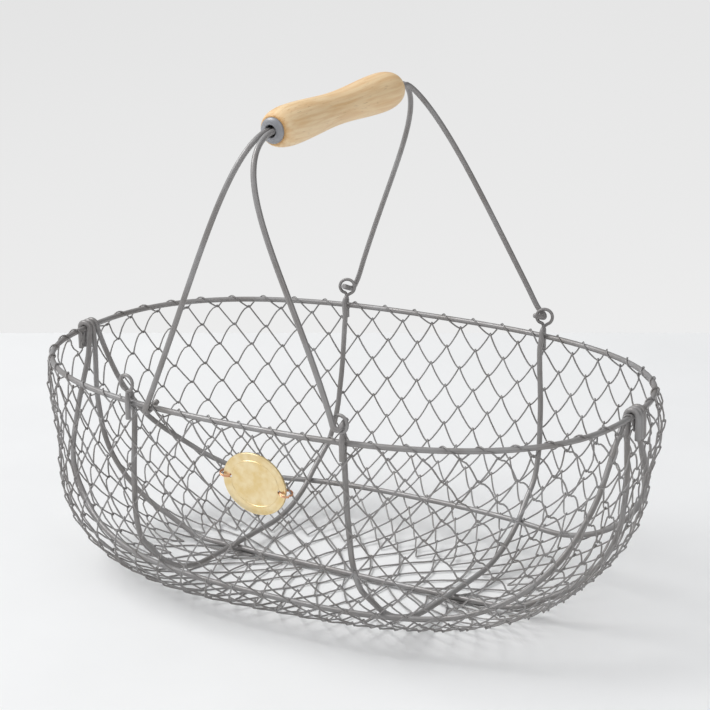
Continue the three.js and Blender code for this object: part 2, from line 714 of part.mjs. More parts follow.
// Where the tag hangs: each split ring goes round a strand, and the plate lies between the rings
function tagSeat() {
  const middle = COLUMNS * 0.75;
  const strandPoint = (column, below, fraction) => {
    const top = surfaceAt(columnAngle(column), rowDistance(TAG_ROW)).point;
    return top.lerp(surfaceAt(columnAngle(below), rowDistance(TAG_ROW + 1)).point, fraction);
  };
  const left = strandPoint(middle, middle - 0.5, TAG_LEFT_FRACTION);
  const right = strandPoint(middle + 1, middle + 1.5, TAG_RIGHT_FRACTION);
  const along = right.clone().sub(left).normalize();
  const slope = wallAt(rowDistance(TAG_ROW)).slope;
  const out = vec(0, -Math.cos(slope), -Math.sin(slope));
  out.addScaledVector(along, -out.dot(along)).normalize();
  const standoff = TAG_RING_RADIUS - TAG_RING_WIRE / 2 - GAP - STRAND / 2;
  const centre = left.clone().lerp(right, 0.5).addScaledVector(out, standoff);
  const basis = new THREE.Matrix4().makeBasis(along, out.clone().cross(along), out);
  return { centre, basis, ringDistance: right.distanceTo(left) / 2 };
}

function ovalOutline(radiusX, radiusY, centreX, steps) {
  const points = [];
  for (let i = 0; i < steps; i += 1) {
    const turn = (TURN * i) / steps;
    points.push(new THREE.Vector2(centreX + radiusX * Math.cos(turn), radiusY * Math.sin(turn)));
  }
  return points;
}

function tagPlate(ringDistance) {
  const plate = new THREE.Shape(ovalOutline(TAG_LENGTH / 2, TAG_HEIGHT / 2, 0, TAG_STEPS));
  const holeDistance = ringDistance - TAG_RING_RADIUS - (TAG_HOLE - TAG_RING_WIRE) / 2 + GAP;
  for (const x of [-holeDistance, holeDistance]) {
    plate.holes.push(new THREE.Path(ovalOutline(TAG_HOLE / 2, TAG_HOLE / 2, x, TAG_HOLE_STEPS).reverse()));
  }
  const geometry = new THREE.ExtrudeGeometry(plate, { depth: TAG_THICKNESS, bevelEnabled: false });
  return geometry.translate(0, 0, -TAG_THICKNESS / 2);
}

// Assembly

const WIRE_PAINT = new THREE.MeshStandardMaterial({ color: "#8c8a88", metalness: 0.3, roughness: 0.45 });
const BEECH = new THREE.MeshStandardMaterial({ color: "#d8ba8c", roughness: 0.6 });
const CAP_GREY = new THREE.MeshStandardMaterial({ color: "#85878c", metalness: 0.5, roughness: 0.4 });
const PALE_BRASS = new THREE.MeshStandardMaterial({ color: "#e6cb86", metalness: 0.9, roughness: 0.3 });
const COPPER = new THREE.MeshStandardMaterial({ color: "#dc9a58", metalness: 0.9, roughness: 0.3 });

const basket = new THREE.Group();
basket.name = "harvest_basket";

function add(group, name, geometry, material) {
  const mesh = new THREE.Mesh(geometry, material);
  mesh.name = name;
  group.add(mesh);
  return mesh;
}

add(basket, "rim_hoop", rimHoop(), WIRE_PAINT);
add(basket, "cross_rib_left", crossRib(-EYE_X, LEFT_RIB_FOOT), WIRE_PAINT);
add(basket, "cross_rib_right", crossRib(EYE_X, RIGHT_RIB_FOOT), WIRE_PAINT);
add(basket, "centre_rib", centreRib(), WIRE_PAINT);
add(basket, "base_rib_near", baseRib(-1), WIRE_PAINT);
add(basket, "base_rib_far", baseRib(1), WIRE_PAINT);

const CORNER_SPLIT = COLUMNS_EYE_TO_END / 2;
const FAR_PANELS = [
  { name: "right_end", from: 0, to: CORNER_SPLIT },
  { name: "right", from: CORNER_SPLIT, to: COLUMNS_EYE_TO_END },
  { name: "middle", from: COLUMNS_EYE_TO_END, to: HALF_COLUMNS - COLUMNS_EYE_TO_END },
  { name: "left", from: HALF_COLUMNS - COLUMNS_EYE_TO_END, to: HALF_COLUMNS - CORNER_SPLIT },
  { name: "left_end", from: HALF_COLUMNS - CORNER_SPLIT, to: HALF_COLUMNS },
];
for (const { name, from, to } of FAR_PANELS) {
  const near = [COLUMNS - to, COLUMNS - from];
  add(basket, `net_side_far_${name}`, wallPanel(from, to, 0, SIDE_ROWS), WIRE_PAINT);
  add(basket, `net_turn_far_${name}`, wallPanel(from, to, SIDE_ROWS, BOTTOM_ROW), WIRE_PAINT);
  add(basket, `net_side_near_${name}`, wallPanel(...near, 0, SIDE_ROWS), WIRE_PAINT);
  add(basket, `net_turn_near_${name}`, wallPanel(...near, SIDE_ROWS, BOTTOM_ROW), WIRE_PAINT);
}
add(basket, "net_floor", floorPanel(), WIRE_PAINT);

const farLeftHook = eyeHook(LEGS.farLeft, HOOKS.farLeft);
const nearRightHook = eyeHook(LEGS.nearRight, HOOKS.nearRight);
const farRightHook = eyeHook(LEGS.farRight, HOOKS.farRight);
add(basket, "bail_left", bail(LEGS.nearLeft, strayHook(), LEGS.farLeft, farLeftHook), WIRE_PAINT);
add(basket, "bail_right", bail(LEGS.nearRight, nearRightHook, LEGS.farRight, farRightHook), WIRE_PAINT);

// The grip has slid towards the near side, against the bend of the bails
const grip = new THREE.Group();
grip.position.copy(besideGripAxis(0, -GRIP_PLAY / 2));
grip.rotation.x = THREE.MathUtils.degToRad(GRIP_TILT);
add(grip, "wood_grip", woodGrip(), BEECH);
add(grip, "grip_cap_near", gripCap(), CAP_GREY).rotation.z = Math.PI;
add(grip, "grip_cap_far", gripCap(), CAP_GREY);
basket.add(grip);

const { centre, basis, ringDistance } = tagSeat();
const tag = new THREE.Group();
tag.position.copy(centre);
tag.quaternion.setFromRotationMatrix(basis);
add(tag, "tag_plate", tagPlate(ringDistance), PALE_BRASS);
for (const [name, side] of [["tag_ring_left", -1], ["tag_ring_right", 1]]) {
  const ring = add(tag, name, new THREE.TorusGeometry(TAG_RING_RADIUS, TAG_RING_WIRE / 2, 6, 12), COPPER);
  ring.position.x = side * ringDistance;
  ring.rotation.x = QUARTER;
}
basket.add(tag);

export default basket;
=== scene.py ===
# Harvest basket: a knotted wire net on an oval rim and five ribs, with a wooden grip on two hooked bails.
# Everything is in metres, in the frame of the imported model: X along the basket, Y across it, Z up.
import math
import random

import bpy
import numpy as np
from mathutils import Matrix, Vector


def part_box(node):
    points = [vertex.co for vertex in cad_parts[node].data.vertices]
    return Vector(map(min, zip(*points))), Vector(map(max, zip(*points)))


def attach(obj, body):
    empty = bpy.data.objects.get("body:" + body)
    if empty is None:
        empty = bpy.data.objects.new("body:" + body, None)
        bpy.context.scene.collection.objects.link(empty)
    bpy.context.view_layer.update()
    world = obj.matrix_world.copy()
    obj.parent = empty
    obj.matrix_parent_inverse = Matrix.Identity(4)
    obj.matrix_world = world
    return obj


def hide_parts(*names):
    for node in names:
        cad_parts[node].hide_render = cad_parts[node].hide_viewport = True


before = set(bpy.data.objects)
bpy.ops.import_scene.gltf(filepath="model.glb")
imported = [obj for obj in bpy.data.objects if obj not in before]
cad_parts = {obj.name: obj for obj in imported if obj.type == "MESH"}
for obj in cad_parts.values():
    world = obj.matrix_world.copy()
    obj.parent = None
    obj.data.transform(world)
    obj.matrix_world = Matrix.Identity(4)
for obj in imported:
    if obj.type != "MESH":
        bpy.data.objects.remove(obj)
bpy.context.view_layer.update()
random.seed(11)

MM = 0.001

# Rim and wall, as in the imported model
RIM_HALF_LENGTH = 225 * MM
RIM_HALF_WIDTH = 142.5 * MM
RIM_HEIGHT = 162 * MM
OVAL_POWER = 2.5
OVAL_STEPS = 14400
FRAME_WIRE = 4 * MM
TAPER_DEPTH = 70 * MM
TAPER_INSET = 5 * MM
TURN_INSET = 90 * MM
NET_OFFSET = 3.05 * MM
FLOOR_LEVEL = 0.75 * MM
GAP = 0.3 * MM
TURN_DROP = RIM_HEIGHT - TAPER_DEPTH - FLOOR_LEVEL
TURN_ARC = math.pi / 4 * (TURN_DROP + TURN_INSET)
RIM_STEPS = 360
RIM_SIDES = 16
WIRE_SIDES = 14

# Net: strands that hang in arcs between knots. A column is one mesh wide, a row is half a mesh high.
STRAND = 1.2 * MM
STRAND_SIDES = 6
COLUMNS = 50
CROWDED_ENDS = 0.03
CROWDED_RIGHT = 0.02
CROWDED_NEAR = 0.02
FIRST_KNOT = 5.5 * MM
FIRST_KNOT_OUT = -1.2 * MM
FIRST_KNOT_SCATTER = 0.5
FAR_KNOT_DROP = 0.8 * MM
EYE_PULL = 4.4 * MM
EYE_PULL_REACH = 2.3
RIB_END_PULL = 6 * MM
ROW_PITCH = 14.3 * MM
ROW_STRETCH = 0.6 * MM
FAR_ROW_STRETCH = 0.9 * MM
WALL_ROWS = 15
FLOOR_ROW_PITCH = 18 * MM
FLOOR_ROWS = 3
KNOT_NECK = 1 * MM
KNOT_LIFT = 1.3 * MM
KNOT_DEPTH = 1.2 * MM
KNOT_LOOP = (45, 90, 135)
KNOT_LEAD = 0.4
KNOT_SCATTER = 0.7 * MM
FLOOR_KNOT_DEPTH = 0.65 * MM
FLOOR_KNOT_NECK = 1.5
FLOOR_LIFT = 0.65 * MM
ARC_ROUNDING = 0.08
ARC_STEPS = 6
ARC_CROWDING = 1.5
SHOULDER = 1.6
STEEPNESS = 0.9
WRAP_RADIUS = FRAME_WIRE / 2 + STRAND / 2 + 0.05 * MM
WRAP_HALF_SPAN = 0.2
WRAP_BY_RIB_END = 0.3
WRAP_START = 215
WRAP_STEPS = 9
WRAP_SPARE = 0.02
SEAM_PAST_NET = 4 * MM
SEAM_HEIGHT = 1.7 * MM
SEAM_WAVE = 1.2 * MM
SEAM_WAVE_REACH = 5 * MM
SEAM_STEPS = 60
RIGHT_BULGE = 6 * MM
LEFT_BULGE = 2.5 * MM
RIGHT_DRAWN_IN = 8 * MM
LEFT_LOW_SPREAD = 9.5 * MM
LEFT_LOW_TURN = 0.45
LEFT_SAG = 3.2 * MM
LEFT_SAG_TURN = 0.8
LOWEST_STRAND = 0.75 * MM
PINCH = 1.6 * MM
PINCH_FADE = 5 * MM

# Distances down the wall where the net is bent out of true: none, full, still full, and none again
BULGE_BAND = (0, 15 * MM, 25 * MM, 60 * MM)
DRAWN_IN_BAND = (42 * MM, 150 * MM, 172 * MM, 225 * MM)
LOW_SPREAD_BAND = (60 * MM, 145 * MM, 200 * MM, 245 * MM)
SAG_BAND = (120 * MM, 170 * MM, 200 * MM, 235 * MM)

# Distances over which the wall's bent strands, deep knots and free height give way to the floor's
BENDS_FADE = (120 * MM, 200 * MM)
KNOTS_FLATTEN = (150 * MM, 205 * MM)
STRANDS_LIFT = (170 * MM, 205 * MM)

# How strands fall from a knot and rise to the next, at columns round the basket. A fall above 0 has a
# rounded shoulder and one below 0 is steep at first. A rise above 0 starts flat.
FALL_BENDS = (
    (0, 0.6), (3.4, -0.8), (9.1, -0.35), (13.6, -0.25), (17, 0.1), (20.5, 0.6), (23.9, 0.9),
    (28.4, 0.3), (31.8, -0.6), (39.8, -0.6), (42.6, 0.1), (45.5, 0.9), (48.9, 1), (50, 0.6),
)
RISE_BENDS = (
    (0, 0.3), (3.4, 1), (9.1, 0.6), (13.6, 0.5), (17, 0.2), (20.5, 0), (45.5, 0), (48.9, 0.2), (50, 0.3),
)

# Ribs
RIB_LEAVES_RIM = 8 * MM
RIB_MEETS_NET = 60 * MM
RIB_ON_NET = 3.95 * MM
RIB_IN_RIM = 7.35 * MM
RIB_OVER_RIB = 8.25 * MM
RIM_WRAP = FRAME_WIRE + GAP
CROSSING_LEAD = 12 * MM
CROSSING_RISE = 30 * MM
CROSS_RIB_STEP = 7 * MM
CENTRE_RIB_STEP = 9 * MM
EYE_X = 86.5 * MM
EYE_RADIUS = 5.8 * MM
EYE_WIRE = 2.4 * MM
EYE_RISE = 13.8 * MM
EYE_OUT = 3 * MM
EYE_SKEW = 1.6 * MM
EYE_NECK = 0.75
EYE_TURN = (-74, 254)
FAR_EYE_TURN = 28
EYE_STEPS = 12
TAIL_LENGTH = 11 * MM
LEFT_RIB_FOOT = -98 * MM
RIGHT_RIB_FOOT = 90 * MM
LEAN_DEPTH = 140 * MM
LEAN_POWER = 1.3
RIB_END_SPACING = FRAME_WIRE + GAP
RIB_END_FOOT = 14 * MM
RIGHT_END_SHIFT = 6 * MM
LEFT_END_SHIFT = -9 * MM
CENTRE_RIB_SHIFTS_FROM = 150 * MM
BASE_RIB_SHIFTS_FROM = 190 * MM
RIB_END_TAIL = 16 * MM
RIB_END_STEPS = 8
BASE_RIB_REACH = 147 * MM
BASE_RIB_TURN = math.radians(58)
NEAR_RIB_BEND_LEFT = 0.62
FAR_RIB_BEND_LEFT = 0.7
BASE_RIB_BEND_RIGHT = 0.88
CUT_EDGE = 0.25 * MM
DOME_RINGS = (30, 55, 78)
DOME_HEIGHT = 0.7

# Handle
GRIP_LENGTH = 152 * MM
GRIP_PLAY = 10.5 * MM
GRIP_END_RADIUS = 14 * MM
GRIP_WAIST_RADIUS = 11.6 * MM
GRIP_WAIST_REACH = 57 * MM
GRIP_ROUNDING = 19 * MM
GRIP_HEIGHT = 349.8 * MM
GRIP_TILT = math.radians(1.1)
GRIP_AXIS = np.array([0, math.cos(GRIP_TILT), math.sin(GRIP_TILT)])
CAP_RADIUS = 9 * MM
CAP_DOME = 3.5 * MM
CAP_LIP = 0.8 * MM
CAP_HOLE_RADIUS = 4.3 * MM
CAP_SLEEVE = 12 * MM
CAP_EDGE = 0.2 * MM
CAP_HOLE_EDGE = 0.25 * MM
BORE_RADIUS = 4.6 * MM
SLEEVE_RADIUS = BORE_RADIUS - 0.05 * MM
WIRE_PAIR = 2.15 * MM
BAIL_STRAIGHT = GRIP_LENGTH + 2 * CAP_DOME + GRIP_PLAY

# Legs of the bails: side, across, how far they run straight on out of the grip, and two bends. A bend is a
# share of the way along to the eye, a distance inside the rim and a share of the grip's rise.
NEAR_LEFT_LEG = (-1, -1, 18.9 * MM, ((0.086, 9.1 * MM, 0.867), (0.31, 17 * MM, 0.619)))
FAR_LEFT_LEG = (-1, 1, 15.5 * MM, ((0.124, 11.1 * MM, 0.836), (0.388, 18.7 * MM, 0.648)))
NEAR_RIGHT_LEG = (1, -1, 19.7 * MM, ((0.005, 3.9 * MM, 0.868), (0.406, 19.4 * MM, 0.572)))
FAR_RIGHT_LEG = (1, 1, 7.8 * MM, ((0.095, 9.2 * MM, 0.826), (0.355, 13.7 * MM, 0.627)))

# Hooks in the eyes, in millimetres from the eye's middle: end of the leg, lowest point of the bend, and tip
FAR_LEFT_HOOK = ((4.9, 8.3, 6.1), (1.3, 5.9, -2.1), (0.3, -5.5, 1.6))
NEAR_RIGHT_HOOK = ((-4.9, -3.9, 4.6), (0.1, -4.9, -2.5), (2.3, 3.5, 2.2))
FAR_RIGHT_HOOK = ((-5.7, 1.4, 5.2), (-0.9, 1.3, 0), (-2.5, -10, 3))
HOOK_BEND = 2.8 * MM
HOOK_STEPS = 6

# The stray hook, from the rim's centre line beside the eye
STRAY_HOOK_X = -71 * MM
STRAY_SHANK = (7.8 * MM, -5 * MM, 9.6 * MM)
STRAY_TIP = (4.4 * MM, 6.5 * MM, 1.8 * MM)
STRAY_SIDE_X = 2.9 * MM
STRAY_BOTTOM_X = 0.5 * MM
STRAY_TURN = 150
STRAY_STEPS = 7

# Tag
TAG_LENGTH = 49 * MM
TAG_HEIGHT = 44 * MM
TAG_THICKNESS = 1.2 * MM
TAG_RIDGE = 0.4 * MM
TAG_HOLE = 3 * MM
TAG_HOLE_X = TAG_LENGTH / 2 - 5.2 * MM

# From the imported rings' places to the finer net's strands that carry them, and on out from there
TAG_SHIFT = (4.5 * MM, 0, 2 * MM)
TAG_STANDOFF = 3.2 * MM
RING_RADIUS = 4.4 * MM
RING_WIRE = 0.85 * MM
RING_BEHIND_TAG = 1.4 * MM
RING_TURNS = 2
RING_START = 0.6
RING_PITCH = 1.05
RING_DRAWN_IN = 0.1
RING_STEPS = 63

# Camera, solved from the rim's oval for a square frame, and where the wall meets the floor in the picture
FOCAL_LENGTHS = 2301.44 / 710
CAMERA_AZIMUTH = math.radians(32.61)
CAMERA_ELEVATION = math.radians(17.21)
CAMERA_ROLL = math.radians(-1.01)
CAMERA_DISTANCE = 1639.08 * MM
AIM_RIGHT = 7.48 * MM
AIM_UP = 8.64 * MM
WALL_LINE = 0.5 - 333 / 710
WALL_SEEN = 330 * MM
WALL_HEIGHT = 3
WALL_REACH = 6
FLOOR_REACH = 12

# Light. A lamp's place is how far it lies to the picture's right, away from the camera and up.
LAMP_AIM = (0, 0, 0.1)
KEY_PLACE = (-2.6, 0.4, 3.4)
KEY_SIZE = 2.6
KEY_POWER = 97
FILL_PLACE = (0.9, -1.4, 1.3)
FILL_SIZE = 1.6
FILL_POWER = 6
DARK_SIDE = (0.3, 0.3, 0.3, 1)
LIGHT_SIDE = (0.96, 0.98, 1, 1)
LIGHT_SIDE_FROM = 0.8
SKY_STRENGTH = 0.75


def mix(a, b, t):
    return a + (b - a) * t


def smooth(start, end, value):
    t = np.clip((value - start) / (end - start), 0, 1)
    return t * t * (3 - 2 * t)


def band(edges, distance):
    """1 between the inner two of four distances, and 0 past the outer two."""
    start, full, fading, end = edges
    return smooth(start, full, distance) * (1 - smooth(fading, end, distance))


def unit(vector):
    return vector / np.linalg.norm(vector)


def axes_at(middle, *axes):
    place = Matrix(axes).transposed().to_4x4()
    place.translation = middle
    return place


# The basket's surface

def oval(half_length, half_width, angle):
    c, s = np.cos(angle), np.sin(angle)
    x = half_length * np.sign(c) * np.abs(c) ** (2 / OVAL_POWER)
    y = half_width * np.sign(s) * np.abs(s) ** (2 / OVAL_POWER)
    return x, y


def oval_half_width_at(x, half_length, half_width):
    return half_width * (1 - (abs(x) / half_length) ** OVAL_POWER) ** (1 / OVAL_POWER)


def rim_half_width_at(x):
    return oval_half_width_at(x, RIM_HALF_LENGTH, RIM_HALF_WIDTH)


def wall_at(distance):
    """Inset from the rim, height and slope of the wall at distances down it."""
    distance = np.asarray(distance, float)
    slope = np.clip((distance - TAPER_DEPTH) / TURN_ARC, 0, 1) * math.pi / 2
    on_floor = np.maximum(0, distance - TAPER_DEPTH - TURN_ARC)
    tapered = np.minimum(distance, TAPER_DEPTH)
    inset = TAPER_INSET * tapered / TAPER_DEPTH + TURN_INSET * (1 - np.cos(slope)) + on_floor
    height = RIM_HEIGHT - tapered - TURN_DROP * np.sin(slope)
    slope = np.maximum(slope, math.atan(TAPER_INSET / TAPER_DEPTH))
    return inset, height, slope


def net_half_sizes(distance):
    inset, _, _ = wall_at(distance)
    return RIM_HALF_LENGTH + NET_OFFSET - inset, RIM_HALF_WIDTH + NET_OFFSET - inset


def moved_in(x, y, distance, depth, spread=0):
    """Points at distances down the net's middle surface, moved inwards by a depth and level outwards."""
    _, height, slope = wall_at(distance)
    half_length, half_width = net_half_sizes(distance)
    depth = depth + RIGHT_DRAWN_IN * band(DRAWN_IN_BAND, distance) * np.clip(x / half_length, 0, 1) ** 3
    nx = np.sign(x) * np.abs(x / half_length) ** (OVAL_POWER - 1) / half_length
    ny = np.sign(y) * np.abs(y / half_width) ** (OVAL_POWER - 1) / half_width
    length = np.hypot(nx, ny)
    side = (np.cos(slope) * depth - spread) / length
    return np.stack([x - nx * side, y - ny * side, height + np.sin(slope) * depth], -1)


def surface(angle, distance, depth, spread=0):
    x, y = oval(*net_half_sizes(distance), angle)
    return moved_in(x, y, distance, depth, spread)


def rim_angle_table():
    """Angles of the oval against the columns round it from the right end, which stand closer in places."""
    angles = np.linspace(0, 2 * math.pi, OVAL_STEPS + 1)
    x, y = oval(RIM_HALF_LENGTH, RIM_HALF_WIDTH, angles)
    steps = np.hypot(np.diff(x), np.diff(y))
    length = np.sum(steps)
    turn = 2 * math.pi * (np.cumsum(steps) - steps / 2) / length
    crowding = 1 + CROWDED_ENDS * np.cos(2 * turn) + CROWDED_RIGHT * np.cos(turn)
    crowding -= CROWDED_NEAR * np.sin(turn)
    columns = np.concatenate([[0], np.cumsum(steps * crowding)])
    return columns / columns[-1] * COLUMNS, angles, length / COLUMNS


TABLE_COLUMNS, TABLE_ANGLES, COLUMN_WIDTH = rim_angle_table()


def column_angle(column):
    return np.interp(np.mod(column, COLUMNS), TABLE_COLUMNS, TABLE_ANGLES)


# Meshes

def spline(points, per_span):
    """Smooth path through points (centripetal Catmull-Rom)."""
    points = [np.asarray(p, float) for p in points]
    points = [2 * points[0] - points[1], *points, 2 * points[-1] - points[-2]]
    path = []
    for p0, p1, p2, p3 in zip(points, points[1:], points[2:], points[3:]):
        k0 = 0
        k1 = k0 + math.sqrt(np.linalg.norm(p1 - p0))
        k2 = k1 + math.sqrt(np.linalg.norm(p2 - p1))
        k3 = k2 + math.sqrt(np.linalg.norm(p3 - p2))
        for i in range(per_span):
            k = mix(k1, k2, i / per_span)
            a1 = p0 + (p1 - p0) * (k - k0) / (k1 - k0)
            a2 = p1 + (p2 - p1) * (k - k1) / (k2 - k1)
            a3 = p2 + (p3 - p2) * (k - k2) / (k3 - k2)
            b1 = a1 + (a2 - a1) * (k - k0) / (k2 - k0)
            b2 = a2 + (a3 - a2) * (k - k1) / (k3 - k1)
            path.append(b1 + (b2 - b1) * (k - k1) / (k2 - k1))
    path.append(points[-2])
    return np.array(path)


def rod_end(point, out, radius, kind):
    """Rings past the end of a rod, from the end outwards: a dome, or a cut face with a small edge."""
    if kind == "flat":
        return [(point, radius), (point + out * CUT_EDGE, radius - CUT_EDGE)]
    rings = []
    for turn in np.radians(DOME_RINGS):
        rings.append((point + out * radius * math.sin(turn) * DOME_HEIGHT, radius * math.cos(turn)))
    return rings


def with_ends(path, radii, ends):
    head = rod_end(path[0], unit(path[0] - path[1]), radii[0], ends[0])[::-1]
    tail = rod_end(path[-1], unit(path[-1] - path[-2]), radii[-1], ends[1])
    rings = head + list(zip(path[1:-1], radii[1:-1])) + tail
    return np.array([point for point, _ in rings]), np.array([radius for _, radius in rings])


def rod_mesh(path, radius, sides, closed=False, ends=("flat", "flat")):
    """Vertices and faces of a round rod along a dense path."""
    path = np.asarray(path, float)
    radii = np.broadcast_to(np.asarray(radius, float), len(path)).copy()
    if not closed:
        path, radii = with_ends(path, radii, ends)
    count = len(path)
    if closed:
        tangents = np.roll(path, -1, 0) - np.roll(path, 1, 0)
    else:
        tangents = np.gradient(path, axis=0)
    tangents /= np.linalg.norm(tangents, axis=1)[:, None]
    across = np.zeros_like(path)
    starts_upright = abs(tangents[0][2]) >= 0.9
    start = np.array([1.0, 0, 0] if starts_upright else [0, 0, 1.0])
    for i in range(count):
        start = unit(start - tangents[i] * np.dot(start, tangents[i]))
        across[i] = start
    twist = np.zeros(count)
    if closed:
        back = across[-1] - tangents[0] * np.dot(across[-1], tangents[0])
        side = np.cross(tangents[0], across[0])
        slip = math.atan2(np.dot(back, side), np.dot(back, across[0]))
        twist = -slip * np.arange(count) / count
    sides_at = np.cross(tangents, across)
    turns = 2 * math.pi * np.arange(sides) / sides
    angle = turns[None, :] + twist[:, None]
    ring = across[:, None] * np.cos(angle)[..., None] + sides_at[:, None] * np.sin(angle)[..., None]
    vertices = (path[:, None] + ring * radii[:, None, None]).reshape(-1, 3)
    faces = []
    for i in range(count if closed else count - 1):
        here, there = i * sides, ((i + 1) % count) * sides
        for k in range(sides):
            k2 = (k + 1) % sides
            faces.append((here + k, there + k, there + k2, here + k2))
    if not closed:
        last = (count - 1) * sides
        faces.append(tuple(range(sides)))
        faces.append(tuple(last + k for k in reversed(range(sides))))
    return vertices, faces


def ring_faces(here, there, sides):
    """Faces between two rings of vertices that start at here and there."""
    faces = []
    for k in range(sides):
        k2 = (k + 1) % sides
        faces.append((here + k, here + k2, there + k2, there + k))
    return faces


def new_object(name, data):
    """An object in the scene for a mesh, camera or lamp."""
    item = bpy.data.objects.new(name, data)
    bpy.context.scene.collection.objects.link(item)
    return item


def make_object(name, parts, material):
    """One object from several lots of vertices and faces, smooth but for its flat ends."""
    vertices, faces, offset = [], [], 0
    for part_vertices, part_faces in parts:
        vertices.extend(map(tuple, part_vertices))
        faces.extend(tuple(i + offset for i in face) for face in part_faces)
        offset += len(part_vertices)
    mesh = bpy.data.meshes.new(name)
    mesh.from_pydata(vertices, [], faces)
    mesh.polygons.foreach_set("use_smooth", [len(face) <= 4 for face in faces])
    mesh.materials.append(material)
    return new_object(name, mesh)


def hand_in(piece, body, slot, *nodes):
    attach(piece, body)
    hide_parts(*nodes)


# Materials

def srgb(text):
    channels = [int(text[i:i + 2], 16) / 255 for i in (1, 3, 5)]
    return tuple(c / 12.92 if c <= 0.04045 else ((c + 0.055) / 1.055) ** 2.4 for c in channels) + (1,)


class Nodes:
    """Short ways to add, join and set shader nodes."""

    def __init__(self, name):
        self.material = bpy.data.materials.new(name)
        self.material.use_nodes = True
        self.tree = self.material.node_tree
        self.shader = self.tree.nodes["Principled BSDF"]
        self.place = self.tree.nodes.new("ShaderNodeTexCoord").outputs["Object"]

    def add(self, kind, **values):
        node = self.tree.nodes.new(kind)
        for key, value in values.items():
            if hasattr(node, key):
                setattr(node, key, value)
            else:
                node.inputs[key.replace("_", " ")].default_value = value
        return node

    def join(self, output, socket):
        self.tree.links.new(output, socket)

    def noise(self, scale, stretch=(1, 1, 1), detail=3, roughness=0.5):
        mapping = self.add("ShaderNodeMapping")
        mapping.inputs["Scale"].default_value = stretch
        self.join(self.place, mapping.inputs["Vector"])
        noise = self.add("ShaderNodeTexNoise", Scale=scale, Detail=detail, Roughness=roughness)
        self.join(mapping.outputs["Vector"], noise.inputs["Vector"])
        return noise.outputs["Fac"]

    def ramp(self, source, *stops):
        ramp = self.add("ShaderNodeValToRGB")
        elements = ramp.color_ramp.elements
        while len(elements) < len(stops):
            elements.new(0.5)
        for element, (position, colour) in zip(elements, stops):
            element.position = position
            element.color = srgb(colour) if isinstance(colour, str) else (colour, colour, colour, 1)
        self.join(source, ramp.inputs["Fac"])
        return ramp.outputs["Color"]

    def blend(self, factor, one, other, mode="MIX"):
        node = self.add("ShaderNodeMix", data_type="RGBA", blend_type=mode)
        for socket, value in ((node.inputs[0], factor), (node.inputs[6], one), (node.inputs[7], other)):
            if hasattr(value, "is_output"):
                self.join(value, socket)
            else:
                socket.default_value = value
        return node.outputs[2]

    def bump(self, height, strength, distance):
        bump = self.add("ShaderNodeBump", Strength=strength, Distance=distance)
        self.join(height, bump.inputs["Height"])
        self.join(bump.outputs["Normal"], self.shader.inputs["Normal"])

    def to(self, output, name):
        self.join(output, self.shader.inputs[name])

    def set(self, name, value):
        self.shader.inputs[name].default_value = value


def wire_paint():
    n = Nodes("wire_paint")
    patches = n.noise(35, detail=4, roughness=0.6)
    n.to(n.ramp(patches, (0.3, "#8a8683"), (0.5, "#969392"), (0.72, "#a09f9f")), "Base Color")
    n.to(n.ramp(n.noise(180), (0.3, 0.3), (0.7, 0.46)), "Roughness")
    n.bump(n.noise(900, detail=2), 0.25, 0.00015)
    n.set("Metallic", 0.3)
    return n.material


def beech():
    n = Nodes("beech")
    along = n.noise(26, (1, 0.12, 1), detail=5, roughness=0.6)
    colour = n.ramp(along, (0.3, "#f3c590"), (0.5, "#fad5a0"), (0.7, "#fee4ba"))
    streaks = n.noise(420, (1, 0.06, 1), detail=2)
    colour = n.blend(0.4, colour, n.ramp(streaks, (0.35, "#dcae78"), (0.62, "#fae5c2")))
    flecks = n.noise(1500, (1, 0.11, 1), detail=1, roughness=0.4)
    fleck_mask = n.ramp(flecks, (0.27, 1), (0.35, 0))
    scattered = n.ramp(n.noise(60, (1, 0.5, 1)), (0.42, 0), (0.6, 0.5))
    mask = n.blend(1, fleck_mask, scattered, "MULTIPLY")
    colour = n.blend(mask, colour, srgb("#bd9560"))
    split = n.add("ShaderNodeSeparateXYZ")
    n.join(n.add("ShaderNodeNewGeometry").outputs["Normal"], split.inputs["Vector"])
    endwise = n.add("ShaderNodeMath", operation="ABSOLUTE")
    n.join(split.outputs["Y"], endwise.inputs[0])
    end_grain = n.ramp(n.noise(700, (1, 0.6, 1), detail=3), (0.35, "#c08c50"), (0.6, "#d9ab6e"))
    facing_end = n.ramp(endwise.outputs["Value"], (0.4, 0), (0.9, 0.85))
    n.to(n.blend(facing_end, colour, end_grain), "Base Color")
    n.to(n.ramp(streaks, (0.3, 0.42), (0.7, 0.56)), "Roughness")
    n.bump(streaks, 0.15, 0.0002)
    return n.material


def cap_paint():
    n = Nodes("cap_grey")
    n.to(n.ramp(n.noise(90, detail=3), (0.35, "#94959a"), (0.65, "#a2a3a7")), "Base Color")
    n.to(n.ramp(n.noise(300), (0.3, 0.3), (0.7, 0.42)), "Roughness")
    n.set("Metallic", 0.3)
    return n.material


def metal(name, dark, light, smoothest, roughest):
    n = Nodes(name)
    n.to(n.ramp(n.noise(160, detail=4), (0.35, dark), (0.65, light)), "Base Color")
    n.to(n.ramp(n.noise(700), (0.3, smoothest), (0.7, roughest)), "Roughness")
    n.bump(n.noise(1100, detail=2), 0.2, 0.0001)
    n.set("Metallic", 1)
    return n.material


WIRE_PAINT = wire_paint()
BEECH = beech()
CAP_GREY = cap_paint()
PALE_BRASS = metal("pale_brass", "#ead098", "#f5e2b8", 0.3, 0.42)
COPPER = metal("copper", "#e0a27a", "#efc09e", 0.25, 0.36)


# Rim and ribs

def wire_piece(name, node, rod):
    piece = make_object(name, [rod], WIRE_PAINT)
    hand_in(piece, "basket", "wire_paint", node)


